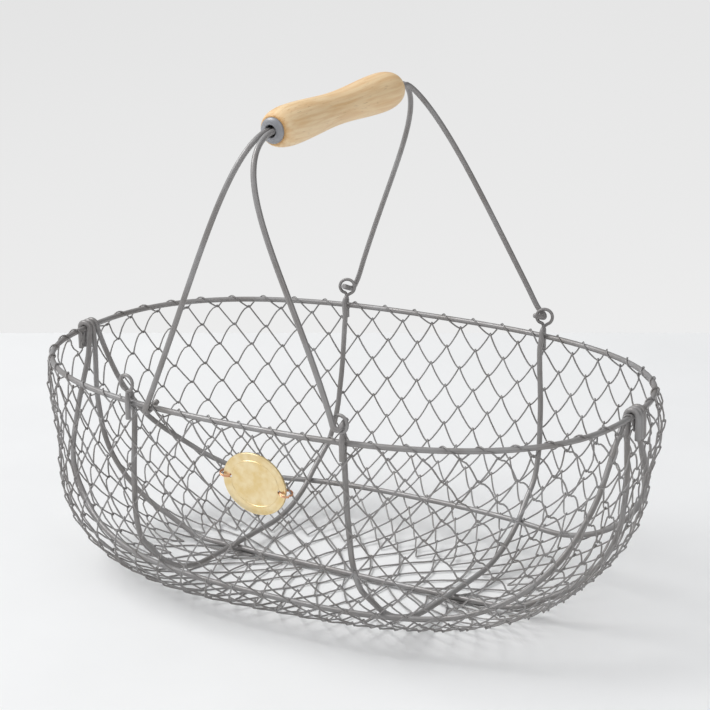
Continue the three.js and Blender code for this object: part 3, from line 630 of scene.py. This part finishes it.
def rim():
    angles = column_angle(np.arange(RIM_STEPS) * COLUMNS / RIM_STEPS)
    x, y = oval(RIM_HALF_LENGTH, RIM_HALF_WIDTH, angles)
    path = np.stack([x, y, np.full_like(x, RIM_HEIGHT)], -1)
    wire_piece("rim", "rim_hoop", rod_mesh(path, FRAME_WIRE / 2, RIM_SIDES, closed=True))


def rib_depth(distance, on_net):
    return mix(RIB_IN_RIM, on_net, smooth(RIB_LEAVES_RIM, RIB_MEETS_NET, distance))


def eye_centre(x, across):
    """Middle of an eye's ring, on the far side for across = 1 and on the near side for across = -1."""
    return np.array([x, across * (rim_half_width_at(x) + EYE_OUT), RIM_HEIGHT + EYE_RISE])


def cross_rib_half(eye_x, foot_x, across):
    """From the floor's middle up one side, round the eye and down to the tail outside the rim."""
    top_x, tail_x = eye_x + across * EYE_SKEW, eye_x - across * EYE_SKEW
    crossing = BASE_RIB_REACH - CROSSING_LEAD
    points = []
    for distance in np.arange(TAPER_DEPTH + TURN_ARC, RIB_LEAVES_RIM, -CROSS_RIB_STEP):
        on_net = mix(RIB_ON_NET, RIB_OVER_RIB, smooth(crossing - CROSSING_RISE, crossing, distance))
        half_length, half_width = net_half_sizes(distance)
        x = mix(top_x, foot_x, min(1, distance / LEAN_DEPTH) ** LEAN_POWER)
        y = across * oval_half_width_at(x, half_length, half_width)
        points.append(moved_in(x, y, distance, rib_depth(distance, on_net)))
    ring = eye_centre(eye_x, across)
    inside_y = across * (rim_half_width_at(top_x) - RIM_WRAP)
    outside_y = across * (rim_half_width_at(tail_x) + RIM_WRAP)
    turned_by = math.radians(FAR_EYE_TURN) if across > 0 else math.pi
    ring_across = np.array([math.cos(turned_by), math.sin(turned_by), 0])
    ring_out = np.array([-ring_across[1], ring_across[0], 0])
    neck_z = mix(RIM_HEIGHT, ring[2] - EYE_RADIUS, EYE_NECK)
    points.append((top_x, inside_y, RIM_HEIGHT))
    points.append((top_x, mix(ring[1] - across * EYE_OUT, inside_y, EYE_NECK), neck_z))
    for share in np.linspace(0, 1, EYE_STEPS + 1):
        around = math.radians(mix(*EYE_TURN, share))
        beside = ring + ring_across * EYE_RADIUS * math.cos(around)
        beside += ring_out * mix(-1, 1, share) * (EYE_WIRE / 2 + GAP)
        points.append(beside + np.array([0, 0, EYE_RADIUS * math.sin(around)]))
    points.append((tail_x, outside_y, neck_z))
    for drop in (0, TAIL_LENGTH / 2, TAIL_LENGTH):
        points.append((tail_x, outside_y, RIM_HEIGHT - drop))
    return points


def cross_rib(name, node, eye_x, foot_x):
    near, far = cross_rib_half(eye_x, foot_x, -1), cross_rib_half(eye_x, foot_x, 1)
    path = spline([*reversed(near), *far], per_span=6)
    rim_top, eye_foot = RIM_HEIGHT + FRAME_WIRE / 2, RIM_HEIGHT + EYE_RISE - EYE_RADIUS
    radii = mix(FRAME_WIRE, EYE_WIRE, smooth(rim_top, eye_foot, path[:, 2])) / 2
    wire_piece(name, node, rod_mesh(path, radii, WIRE_SIDES))


def end_shift(x, start):
    """How far a long rib lies to one side at x. Its ends sit a little beside the rim's."""
    return np.where(x > 0, RIGHT_END_SHIFT, LEFT_END_SHIFT) * smooth(start, RIM_HALF_LENGTH, abs(x))


def rib_end(side, y):
    """End of a long rib, from inside the rim over it and down outside it."""
    points = []
    for around in np.linspace(math.pi, 0, RIB_END_STEPS + 1):
        x = side * (RIM_HALF_LENGTH + RIM_WRAP * math.cos(around))
        points.append((x, y, RIM_HEIGHT + RIM_WRAP * math.sin(around)))
    for drop in (RIB_END_TAIL / 2, RIB_END_TAIL):
        points.append((side * (RIM_HALF_LENGTH + RIM_WRAP), y, RIM_HEIGHT - drop))
    return points


def long_rib(name, node, y, points, shifts_from):
    """A rib from the rim's right end to its left, through points on the net, with y as its ends' place."""
    points = [*reversed(rib_end(1, y)), *points, *rib_end(-1, y)]
    path = spline([(px, py + end_shift(px, shifts_from), pz) for px, py, pz in points], per_span=4)
    wire_piece(name, node, rod_mesh(path, FRAME_WIRE / 2, WIRE_SIDES))


def centre_rib():
    right = []
    for distance in np.arange(RIB_END_FOOT, TAPER_DEPTH + TURN_ARC + CENTRE_RIB_STEP, CENTRE_RIB_STEP):
        right.append(surface(0, distance, rib_depth(distance, RIB_ON_NET)))
    left = [(-x, y, z) for x, y, z in reversed(right)]
    long_rib("centre_rib_wire", "centre_rib", 0, [*right, *left], CENTRE_RIB_SHIFTS_FROM)


def base_rib(name, node, side, bend_left):
    """It leaves the end of the rim, turns along the foot of one side and comes up at the other end."""
    start = math.asin((RIB_END_SPACING / RIM_HALF_WIDTH) ** (OVAL_POWER / 2))
    points = []
    steps = 60
    for i in range(1, steps):
        angle = mix(start, math.pi - start, (1 - math.cos(math.pi * i / steps)) / 2)
        from_end = min(angle, math.pi - angle) - start
        bend = BASE_RIB_BEND_RIGHT if angle < math.pi / 2 else bend_left
        come_down = min(1, from_end / BASE_RIB_TURN) ** bend
        distance = BASE_RIB_REACH * math.sin(come_down * math.pi / 2)
        if distance > RIB_END_FOOT:
            points.append(surface(side * angle, distance, rib_depth(distance, RIB_ON_NET)))
    long_rib(name, node, side * RIB_END_SPACING, points, BASE_RIB_SHIFTS_FROM)


# Net

def scatter():
    return random.uniform(-1, 1) * KNOT_SCATTER


def columns_between(column, other):
    return np.abs(np.mod(column - other + COLUMNS / 2, COLUMNS) - COLUMNS / 2)


def eye_columns():
    """Columns of the eyes: near left, far left, near right and far right."""
    x, y = oval(RIM_HALF_LENGTH, RIM_HALF_WIDTH, TABLE_ANGLES)
    columns = []
    for side_x in (-1, 1):
        for side_y in (-1, 1):
            off = np.where(np.sign(y) == side_y, np.abs(x - side_x * EYE_X), np.inf)
            columns.append(TABLE_COLUMNS[np.argmin(off)])
    return np.array(columns)


EYE_COLUMNS = eye_columns()
LOADED_EYES = EYE_COLUMNS[1:]
RIB_ENDS = (RIGHT_END_SHIFT / COLUMN_WIDTH, COLUMNS / 2 - LEFT_END_SHIFT / COLUMN_WIDTH)
RIB_END_ROOM = (RIB_END_SPACING + (FRAME_WIRE + STRAND) / 2 + GAP) / COLUMN_WIDTH
EYE_ROOM = (EYE_SKEW + (FRAME_WIRE + STRAND) / 2) / COLUMN_WIDTH + WRAP_SPARE


def pinch(column, distance):
    """How far the net is held in, between the stems inside the rim and the tails outside it."""
    held = [(eye, EYE_SKEW + FRAME_WIRE / 2, TAIL_LENGTH) for eye in EYE_COLUMNS]
    held += [(end, RIB_END_SPACING + FRAME_WIRE / 2, RIB_END_TAIL) for end in RIB_ENDS]
    share = np.zeros_like(distance)
    for middle, half_width, tail in held:
        near = 1 - smooth(half_width, half_width + PINCH_FADE, columns_between(column, middle) * COLUMN_WIDTH)
        share = np.maximum(share, near * (1 - smooth(tail, tail + PINCH_FADE, distance)))
    return PINCH * share


def knot_distance(column, row):
    """Distance of a knot down the wall, more by the eyes that carry the handle and at the rib ends."""
    far = math.sin(2 * math.pi * column / COLUMNS)
    pull = EYE_PULL * np.max(np.exp(-(columns_between(column, LOADED_EYES) / EYE_PULL_REACH) ** 2))
    if row == 1 and column % (COLUMNS // 2) == 0:
        pull = RIB_END_PULL
    share = (row - 1) / (WALL_ROWS - 1)
    uneven = (FAR_KNOT_DROP * far + pull) * (1 - share)
    stretch = (ROW_STRETCH + FAR_ROW_STRETCH * far) * (row - 1) * (1 - share ** 2)
    return FIRST_KNOT + (row - 1) * ROW_PITCH + uneven + stretch


def wall_knots():
    """Knots of the wall: for each row a list of (column, distance down, outward offset)."""
    rows = []
    for row in range(1, WALL_ROWS + 1):
        knots = []
        for k in range(COLUMNS):
            column = k + (0 if row % 2 else 0.5)
            distance = knot_distance(column, row)
            out = FIRST_KNOT_OUT if row == 1 else 0
            if row == 1 and k % (COLUMNS // 2) == 0:
                column = RIB_ENDS[k // (COLUMNS // 2)]
            else:
                column += scatter() / COLUMN_WIDTH
                distance += scatter() * (FIRST_KNOT_SCATTER if row == 1 else 1)
            knots.append((column, distance, out))
        rows.append(knots)
    return rows


def bend_at(bends, column, distance):
    """Bend of the strands at a column. On the floor they hang straight."""
    columns, values = zip(*bends)
    return np.interp(column % COLUMNS, columns, values) * (1 - smooth(*BENDS_FADE, distance))


def joined(lots):
    return [np.concatenate(values) for values in zip(*lots)]


def hang(start, bottom, end, start_out, end_out):
    """Strand from one knot, down through the next row's and up to another: columns, distances, outs."""
    from_bottom = np.linspace(0, 1, ARC_STEPS + 1) ** ARC_CROWDING
    height_at_knot = math.hypot(1, ARC_ROUNDING) - ARC_ROUNDING
    rounded = (np.hypot(from_bottom, ARC_ROUNDING) - ARC_ROUNDING) / height_at_knot
    fall = bend_at(FALL_BENDS, *start[:2])
    if fall > 0:
        fallen_from = 1 - (1 - rounded) ** (1 + SHOULDER * fall)
    else:
        fallen_from = rounded ** (1 - STEEPNESS * fall)
    risen = rounded ** (1 + bend_at(RISE_BENDS, *end[:2]))
    lots = []
    for reach, height, knot, knot_out in (
        (from_bottom[::-1], fallen_from[::-1], start, start_out),
        (from_bottom[1:], risen[1:], end, end_out),
    ):
        out = mix(bottom[2], knot[2], height) + knot_out * smooth(KNOT_LEAD, 1, reach)
        lots.append((mix(bottom[0], knot[0], reach), mix(bottom[1], knot[1], height), out))
    return joined(lots)


def knot_depth(distance):
    return mix(KNOT_DEPTH, FLOOR_KNOT_DEPTH, smooth(*KNOTS_FLATTEN, distance))


def net_row(tops, bottoms, neck_scale=1):
    """One strand round the basket: it loops through the arc above at each top and hangs to each bottom."""
    neck = KNOT_NECK / COLUMN_WIDTH * neck_scale
    loop = np.radians(KNOT_LOOP)
    lots = []
    for k, top in enumerate(tops):
        later = tops[(k + 1) % len(tops)]
        turn = COLUMNS if k == len(tops) - 1 else 0
        end = (later[0] + turn, later[1], later[2])
        bottom = bottoms[k]
        if bottom[0] < top[0]:
            bottom = (bottom[0] + COLUMNS, bottom[1], bottom[2])
        depth = knot_depth(top[1])
        lots.append((
            top[0] - neck * np.cos(loop),
            top[1] - KNOT_LIFT * np.sin(loop),
            top[2] - depth * np.cos(loop),
        ))
        lots.append(hang((top[0] + neck, *top[1:]), bottom, (end[0] - neck, *end[1:]), depth, -depth))
    return joined(lots)


def rim_wraps():
    """Start and end columns of the turns round the rim. They keep clear of the rib ends and the eyes."""
    spans = []
    for k in range(COLUMNS):
        start, end = k + 0.5 - WRAP_HALF_SPAN, k + 0.5 + WRAP_HALF_SPAN
        for middle in (*RIB_ENDS, RIB_ENDS[0] + COLUMNS):
            if abs(k + 0.5 - middle) < 1:
                side = 1 if k + 0.5 > middle else -1
                past = RIB_END_ROOM + WRAP_BY_RIB_END
                start, end = sorted((middle + side * RIB_END_ROOM, middle + side * past))
        for eye in EYE_COLUMNS:
            if start < eye + EYE_ROOM and end > eye - EYE_ROOM:
                shift = eye + EYE_ROOM - start if (start + end) / 2 > eye else eye - EYE_ROOM - end
                start, end = start + shift, end + shift
        spans.append((start, end))
    return spans


def rim_row(bottoms):
    """First strand: it winds round the rim and hangs in shallow arcs."""
    spans = rim_wraps()
    wrap = np.radians(np.linspace(WRAP_START, 0, WRAP_STEPS))
    inner = wrap[1:-1]
    lots = []
    for k, (start, end) in enumerate(spans):
        along = np.linspace(start, end, WRAP_STEPS)[1:-1]
        lots.append((along, -WRAP_RADIUS * np.sin(inner), WRAP_RADIUS * np.cos(inner) - NET_OFFSET))
        turn = COLUMNS if k == COLUMNS - 1 else 0
        after = spans[(k + 1) % COLUMNS][0] + turn
        bottom = bottoms[(k + 1) % COLUMNS]
        column = bottom[0] + turn
        outside = (end, 0, WRAP_RADIUS - NET_OFFSET)
        inside = (after, -WRAP_RADIUS * math.sin(wrap[0]), WRAP_RADIUS * math.cos(wrap[0]) - NET_OFFSET)
        lots.append(hang(outside, (column, *bottom[1:]), inside, 0, 0))
    return joined(lots)


def near_left_end(turn, aside):
    """1 at an angle aside from the left end of the basket, and 0 from a quarter turn away."""
    return np.clip(-np.cos(turn - aside), 0, 1) ** 2


def strand_path(column, distance, out):
    """Points in space of a strand given on the net's surface. It stays clear of the ground."""
    turn = 2 * math.pi * column / COLUMNS
    to_right = np.cos(turn)
    bulge = np.where(to_right > 0, RIGHT_BULGE, LEFT_BULGE) * band(BULGE_BAND, distance) * to_right ** 4
    spread = LEFT_LOW_SPREAD * band(LOW_SPREAD_BAND, distance) * near_left_end(turn, LEFT_LOW_TURN)
    sag = LEFT_SAG * band(SAG_BAND, distance) * near_left_end(turn, LEFT_SAG_TURN)
    held = pinch(column, distance)
    lift = FLOOR_LIFT * smooth(*STRANDS_LIFT, distance)
    out = out + bulge * (1 - held / PINCH) - held + sag - lift
    points = surface(column_angle(column), distance, -out, spread)
    points[:, 2] = np.maximum(points[:, 2], LOWEST_STRAND)
    return points


def seam(half_length):
    """Wavy wire along the middle of the floor, which closes the last row."""
    x = np.linspace(-1, 1, SEAM_STEPS + 1) * half_length
    return np.stack([x, SEAM_WAVE * np.sin(x / SEAM_WAVE_REACH), np.full_like(x, SEAM_HEIGHT)], -1)


def net():
    """The whole net as one piece. It returns the points of its strands, for the tag to hang on."""
    rows = wall_knots()
    paths = [strand_path(*rim_row(rows[0]))]
    for row in range(WALL_ROWS - 1):
        bottoms = rows[row + 1]
        if row % 2:
            bottoms = bottoms[1:] + bottoms[:1]
        paths.append(strand_path(*net_row(rows[row], bottoms)))
    tops = rows[-1][::2]
    last_wall_row = FIRST_KNOT + (WALL_ROWS - 1) * ROW_PITCH
    for row in range(1, FLOOR_ROWS + 1):
        distance = last_wall_row + row * FLOOR_ROW_PITCH
        bottoms = []
        for k in range(COLUMNS // 2):
            column = row + 2 * k + scatter() / COLUMN_WIDTH
            bottoms.append((column, distance + scatter(), 0))
        paths.append(strand_path(*net_row(tops, bottoms, FLOOR_KNOT_NECK)))
        tops = bottoms
    parts = [rod_mesh(path, STRAND / 2, STRAND_SIDES, closed=True) for path in paths]
    half_length, _ = net_half_sizes(distance)
    parts.append(rod_mesh(seam(half_length + SEAM_PAST_NET), STRAND / 2, STRAND_SIDES))
    piece = make_object("wire_net", parts, WIRE_PAINT)
    hand_in(piece, "basket", "wire_paint", *[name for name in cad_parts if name.startswith("net_")])
    return np.concatenate(paths)


# Handle

def beside_grip_axis(x, along):
    """Point beside the grip's axis, at a distance along it from the basket's middle."""
    return np.array([x, 0, GRIP_HEIGHT]) + GRIP_AXIS * along


def leg_path(leg, hook):
    """From the end of the bail's straight stretch down to its hook."""
    side, across, lead, bends = leg
    straight = BAIL_STRAIGHT / 2
    controls = [beside_grip_axis(side * WIRE_PAIR, across * reach) for reach in (straight, straight + lead)]
    for along, inside, rise in bends:
        y = across * (RIM_HALF_WIDTH - inside)
        controls.append(np.array([side * EYE_X * along, y, mix(RIM_HEIGHT, GRIP_HEIGHT, rise)]))
    controls.append(hook[0])
    points = []
    steps = 24
    for i in range(steps):
        level = controls
        while len(level) > 1:
            level = [mix(a, b, i / steps) for a, b in zip(level, level[1:])]
        points.append(level[0])
    return points + hook


def eye_hook(leg, hook):
    """Hook through an eye: down from the leg, round a bend and up to the tip."""
    side, across = leg[:2]
    start, lowest, end = [eye_centre(side * EYE_X, across) + np.array(offset) * MM for offset in hook]
    up, on = unit(start - lowest), unit(end - lowest)
    inwards = unit(up + on)
    bend_centre = lowest + inwards * HOOK_BEND
    half_turn = math.pi / 2 - math.acos(np.dot(up, on)) / 2
    along = unit(on - inwards * np.dot(on, inwards))
    points = [start]
    for around in np.linspace(-half_turn, half_turn, HOOK_STEPS + 1):
        points.append(bend_centre + (along * math.sin(around) - inwards * math.cos(around)) * HOOK_BEND)
    return [*points, end]


def stray_hook():
    """The near left hook has slipped out of its eye and bears under the rim beside it."""
    rim_point = np.array([STRAY_HOOK_X, -rim_half_width_at(STRAY_HOOK_X), RIM_HEIGHT])
    points = [rim_point + np.array(STRAY_SHANK)]
    for around in np.radians(np.linspace(0, STRAY_TURN, STRAY_STEPS + 1)):
        x = mix(STRAY_SIDE_X, STRAY_BOTTOM_X, math.sin(around))
        points.append(rim_point + np.array([x, -RIM_WRAP * math.cos(around), -RIM_WRAP * math.sin(around)]))
    points.append(rim_point + np.array(STRAY_TIP))
    return points


def bail(name, node, near, far, far_end):
    """Bail from the near hook's tip to the far one's. Near and far are a leg and its hook."""
    path = spline([*reversed(leg_path(*near)), *leg_path(*far)], per_span=4)
    wire_piece(name, node, rod_mesh(path, FRAME_WIRE / 2, WIRE_SIDES, ends=("round", far_end)))


def turned(outline, steps=64):
    """Vertices and faces of a closed outline of (radius, distance along) turned round the grip's axis."""
    turns = 2 * math.pi * np.arange(steps) / steps
    upward = np.array([0, -GRIP_AXIS[2], GRIP_AXIS[1]])
    spokes = np.cos(turns)[:, None] * np.array([1, 0, 0]) + np.sin(turns)[:, None] * upward
    rings = [beside_grip_axis(0, along) + spokes * radius for radius, along in outline]
    faces = []
    count = len(outline)
    for i in range(count):
        faces += ring_faces(i * steps, (i + 1) % count * steps, steps)
    return np.concatenate(rings), faces


def quarter_turn(steps=12):
    return [math.pi / 2 * i / steps for i in range(steps + 1)]


def wood_grip():
    half = GRIP_LENGTH / 2
    shoulder = half - GRIP_ROUNDING
    far_edge = []
    for turn in quarter_turn():
        radius = mix(GRIP_END_RADIUS, CAP_RADIUS, 1 - math.cos(turn))
        far_edge.append((radius, shoulder + GRIP_ROUNDING * math.sin(turn)))
    near_edge = [(radius, -y) for radius, y in reversed(far_edge)]
    waist = []
    waist_steps = 24
    for i in range(1, waist_steps):
        y = mix(-GRIP_WAIST_REACH, GRIP_WAIST_REACH, i / waist_steps)
        drawn_in = math.cos(math.pi / 2 * y / GRIP_WAIST_REACH) ** 2
        waist.append((mix(GRIP_END_RADIUS, GRIP_WAIST_RADIUS, drawn_in), y))
    outline = [(BORE_RADIUS, -half), *near_edge, *waist, *far_edge, (BORE_RADIUS, half)]
    piece = make_object("grip_wood", [turned([(r, y - GRIP_PLAY / 2) for r, y in outline])], BEECH)
    hand_in(piece, "grip", "beech", "wood_grip")


def grip_cap(name, node, side):
    """Domed cap with a short sleeve in the grip's bore."""
    seat = GRIP_LENGTH / 2
    outline = [
        (CAP_HOLE_RADIUS, seat - CAP_SLEEVE), (SLEEVE_RADIUS, seat - CAP_SLEEVE),
        (SLEEVE_RADIUS, seat), (CAP_RADIUS - CAP_EDGE, seat), (CAP_RADIUS, seat + CAP_EDGE),
    ]
    for turn in quarter_turn():
        outline.append((
            mix(CAP_HOLE_RADIUS + CAP_HOLE_EDGE, CAP_RADIUS, math.cos(turn)),
            seat + mix(CAP_LIP, CAP_DOME, math.sin(turn)),
        ))
    outline.append((CAP_HOLE_RADIUS, seat + CAP_DOME - CAP_HOLE_EDGE))
    outline = [(r, side * y - GRIP_PLAY / 2) for r, y in outline]
    piece = make_object(name, [turned(outline if side > 0 else outline[::-1])], CAP_GREY)
    hand_in(piece, "grip", "cap_grey", node)


# Tag

def tag_frame(strands):
    """Where the tag hangs: each ring goes round the strand that is nearest to its place."""
    slope = math.atan(TAPER_INSET / TAPER_DEPTH)
    out = Vector((0, -math.cos(slope), -math.sin(slope)))
    middles = []
    for node in ("tag_ring_left", "tag_ring_right"):
        low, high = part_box(node)
        wanted = np.array((low + high) / 2) + np.array(TAG_SHIFT)
        nearest = strands[np.argmin(np.linalg.norm(strands - wanted, axis=1))]
        middles.append(Vector(nearest) + out * TAG_STANDOFF)
    along = (middles[1] - middles[0]).normalized()
    out = (out - along * out.dot(along)).normalized()
    return axes_at((middles[0] + middles[1]) / 2, along, out.cross(along), out)


def oval_ring(radius_x, radius_y, z, centre_x, steps):
    turns = 2 * math.pi * np.arange(steps) / steps
    return np.stack([centre_x + radius_x * np.cos(turns), radius_y * np.sin(turns), np.full(steps, z)], -1)


def place_points(place, points):
    return [tuple(place @ Vector(p)) for p in points]


def hole_cutter(place, x):
    """Rod that cuts the hole at x in the plate."""
    sides = 24
    rings = [oval_ring(TAG_HOLE / 2, TAG_HOLE / 2, z, x, sides) for z in (-TAG_HOLE, TAG_HOLE)]
    faces = ring_faces(0, sides, sides)
    faces.append(tuple(reversed(range(sides))))
    faces.append(tuple(range(sides, 2 * sides)))
    return make_object("cutter", [(place_points(place, np.concatenate(rings)), faces)], PALE_BRASS)


def tag_plate(place):
    """Oval plate with a raised edge, a plain inner ridge, and a hole near each end."""
    half = TAG_THICKNESS / 2
    steps = 96
    # Inset from the outline and height, from the back over the edge to the inner ridge on the front
    levels = [
        (1.2 * MM, -half), (0.35 * MM, -half), (0, -half + 0.3 * MM), (0, half - 0.1 * MM),
        (0.3 * MM, half + TAG_RIDGE), (1 * MM, half + TAG_RIDGE), (1.5 * MM, half), (5.6 * MM, half),
        (5.8 * MM, half + TAG_RIDGE * 0.6), (6.2 * MM, half + TAG_RIDGE * 0.6), (6.4 * MM, half),
    ]
    rings = [oval_ring(TAG_LENGTH / 2 - inset, TAG_HEIGHT / 2 - inset, z, 0, steps) for inset, z in levels]
    vertices = np.concatenate(rings)
    faces = []
    for i in range(len(levels) - 1):
        faces += ring_faces(i * steps, (i + 1) * steps, steps)
    faces.append(tuple(range(steps))[::-1])
    last = (len(levels) - 1) * steps
    faces.append(tuple(last + k for k in range(steps)))
    piece = make_object("tag", [(place_points(place, vertices), faces)], PALE_BRASS)
    for side in (-1, 1):
        cutter = hole_cutter(place, side * TAG_HOLE_X)
        cut = piece.modifiers.new("hole", "BOOLEAN")
        cut.object = cutter
        cut.solver = "EXACT"
        bpy.context.view_layer.objects.active = piece
        bpy.ops.object.modifier_apply(modifier=cut.name)
        bpy.data.objects.remove(cutter)
    edges = piece.modifiers.new("edges", "EDGE_SPLIT")
    edges.split_angle = math.radians(40)
    bpy.ops.object.modifier_apply(modifier=edges.name)
    hand_in(piece, "tag", "pale_brass", "tag_plate")


def split_ring(name, node, place, side):
    """Two close turns of thin wire through a hole of the plate, at its left for side = -1."""
    turns = np.linspace(0, RING_TURNS, RING_STEPS + 1)
    angle = 2 * math.pi * turns + RING_START
    radius = RING_RADIUS - RING_WIRE * RING_DRAWN_IN
    rise = (turns - RING_TURNS / 2) * RING_WIRE * RING_PITCH
    centre_x = side * (TAG_HOLE_X + math.sqrt(RING_RADIUS ** 2 - RING_BEHIND_TAG ** 2))
    points = np.stack([centre_x + radius * np.cos(angle), rise, radius * np.sin(angle) - RING_BEHIND_TAG], -1)
    piece = make_object(name, [rod_mesh(place_points(place, points), RING_WIRE / 2, sides=10)], COPPER)
    hand_in(piece, "tag", "copper", node)


# Stage, light and camera

def camera_axes():
    """The picture's right and up, and the direction back to the camera."""
    a, e = CAMERA_AZIMUTH, CAMERA_ELEVATION
    back = Vector((math.sin(a) * math.cos(e), -math.cos(a) * math.cos(e), math.sin(e)))
    right = Vector((math.cos(a), math.sin(a), 0))
    up = back.cross(right)
    c, s = math.cos(CAMERA_ROLL), math.sin(CAMERA_ROLL)
    return right * c + up * s, up * c - right * s, back


def camera_place():
    right, up, back = camera_axes()
    aim = Vector((0, 0, RIM_HEIGHT)) + right * AIM_RIGHT + up * AIM_UP
    return aim + back * CAMERA_DISTANCE


def ground_axes():
    """Level directions to the picture's right and away from the camera."""
    across = Vector((math.cos(CAMERA_AZIMUTH), math.sin(CAMERA_AZIMUTH), 0))
    return across, Vector((-across.y, across.x, 0))


def floor_point(right_share, up_share):
    """Where the view meets the floor, through a point in shares of the picture's side from its middle."""
    right, up, back = camera_axes()
    place = camera_place()
    ray = right * right_share / FOCAL_LENGTHS + up * up_share / FOCAL_LENGTHS - back
    return place - ray * (place.z / ray.z)


def camera():
    data = bpy.data.cameras.new("camera")
    data.sensor_width = 36
    data.lens = FOCAL_LENGTHS * data.sensor_width
    data.clip_start, data.clip_end = 0.05, 50
    view = new_object("camera", data)
    view.matrix_world = axes_at(camera_place(), *camera_axes())
    bpy.context.scene.camera = view


def sheet(name, corners, material):
    mesh = bpy.data.meshes.new(name)
    mesh.from_pydata([tuple(c) for c in corners], [], [(0, 1, 2, 3)])
    mesh.materials.append(material)
    piece = new_object(name, mesh)
    return piece


def floor():
    n = Nodes("floor_paint")
    n.to(n.ramp(n.noise(9, detail=5), (0.3, "#f1f1f1"), (0.7, "#f4f4f4")), "Base Color")
    n.set("Roughness", 0.9)
    n.set("Specular IOR Level", 0.1)
    across, away = ground_axes()
    signs = ((-1, -1), (-1, 1), (1, 1), (1, -1))
    corners = [away * FLOOR_REACH * a + across * FLOOR_REACH * b for a, b in signs]
    sheet("floor", corners, n.material)


def wall_glow():
    """It glows by itself, as the photograph's wall is evenly lit, and is clear from behind."""
    n = Nodes("wall_paint")
    nodes = n.tree.nodes
    glow = n.add("ShaderNodeEmission")
    split = n.add("ShaderNodeSeparateXYZ")
    n.join(n.place, split.inputs["Vector"])
    # Painted shade: the glow darkens with height, from #ededed at the floor to #e4e4e4 at WALL_SEEN, as if
    # less light reached the top of the wall
    painted_shade = n.ramp(split.outputs["Z"], (0, "#ededed"), (WALL_SEEN, "#e4e4e4"))
    patches = n.ramp(n.noise(1.5, detail=3), (0.35, 0), (0.65, 0.25))
    n.join(n.blend(patches, painted_shade, srgb("#ececec")), glow.inputs["Color"])
    clear = n.add("ShaderNodeBsdfTransparent")
    either = n.add("ShaderNodeMixShader")
    n.join(n.add("ShaderNodeNewGeometry").outputs["Backfacing"], either.inputs[0])
    n.join(glow.outputs[0], either.inputs[1])
    n.join(clear.outputs[0], either.inputs[2])
    n.join(either.outputs[0], nodes["Material Output"].inputs["Surface"])
    nodes.remove(n.shader)
    return n.material


def wall():
    left, right = floor_point(-0.5, WALL_LINE), floor_point(0.5, WALL_LINE)
    along = (right - left).normalized() * WALL_REACH
    middle = (left + right) / 2
    high = Vector((0, 0, WALL_HEIGHT))
    corners = [middle - along, middle + along, middle + along + high, middle - along + high]
    piece = sheet("wall", corners, wall_glow())
    piece.visible_diffuse = piece.visible_glossy = piece.visible_shadow = False


def lamp(name, place, size, power):
    data = bpy.data.lights.new(name, "AREA")
    data.shape = "DISK"
    data.size = size
    data.energy = power
    light = new_object(name, data)
    light.location = place
    light.rotation_mode = "QUATERNION"
    light.rotation_quaternion = (Vector(LAMP_AIM) - place).to_track_quat("-Z", "Y")


def lamp_place(to_right, away_by, up):
    right, _, _ = camera_axes()
    _, away = ground_axes()
    return right * to_right + away * away_by + Vector((0, 0, up))


def sky(key):
    """Soft light from all round, brighter towards the key lamp."""
    world = bpy.data.worlds.new("world")
    bpy.context.scene.world = world
    world.use_nodes = True
    nodes, links = world.node_tree.nodes, world.node_tree.links
    background = nodes["Background"]
    background.inputs["Strength"].default_value = SKY_STRENGTH
    towards_key = nodes.new("ShaderNodeVectorMath")
    towards_key.operation = "DOT_PRODUCT"
    towards_key.inputs[1].default_value = key.normalized()
    ramp = nodes.new("ShaderNodeValToRGB")
    dark, light = ramp.color_ramp.elements
    dark.position, dark.color = 0, DARK_SIDE
    light.position, light.color = LIGHT_SIDE_FROM, LIGHT_SIDE
    links.new(nodes.new("ShaderNodeTexCoord").outputs["Generated"], towards_key.inputs[0])
    links.new(towards_key.outputs["Value"], ramp.inputs["Fac"])
    links.new(ramp.outputs["Color"], background.inputs["Color"])


rim()
cross_rib("left_cross_rib", "cross_rib_left", -EYE_X, LEFT_RIB_FOOT)
cross_rib("right_cross_rib", "cross_rib_right", EYE_X, RIGHT_RIB_FOOT)
centre_rib()
base_rib("near_base_rib", "base_rib_near", -1, NEAR_RIB_BEND_LEFT)
base_rib("far_base_rib", "base_rib_far", 1, FAR_RIB_BEND_LEFT)
net_strands = net()
bail(
    "left_bail", "bail_left",
    near=(NEAR_LEFT_LEG, stray_hook()),
    far=(FAR_LEFT_LEG, eye_hook(FAR_LEFT_LEG, FAR_LEFT_HOOK)),
    far_end="flat",
)
bail(
    "right_bail", "bail_right",
    near=(NEAR_RIGHT_LEG, eye_hook(NEAR_RIGHT_LEG, NEAR_RIGHT_HOOK)),
    far=(FAR_RIGHT_LEG, eye_hook(FAR_RIGHT_LEG, FAR_RIGHT_HOOK)),
    far_end="round",
)
wood_grip()
grip_cap("near_cap", "grip_cap_near", -1)
grip_cap("far_cap", "grip_cap_far", 1)
tag_place = tag_frame(net_strands)
tag_plate(tag_place)
split_ring("left_ring", "tag_ring_left", tag_place, -1)
split_ring("right_ring", "tag_ring_right", tag_place, 1)
floor()
wall()
key_place = lamp_place(*KEY_PLACE)
lamp("key", key_place, KEY_SIZE, KEY_POWER)
lamp("fill", lamp_place(*FILL_PLACE), FILL_SIZE, FILL_POWER)
sky(key_place)
camera()

bpy.context.scene.view_settings.view_transform = "Standard"
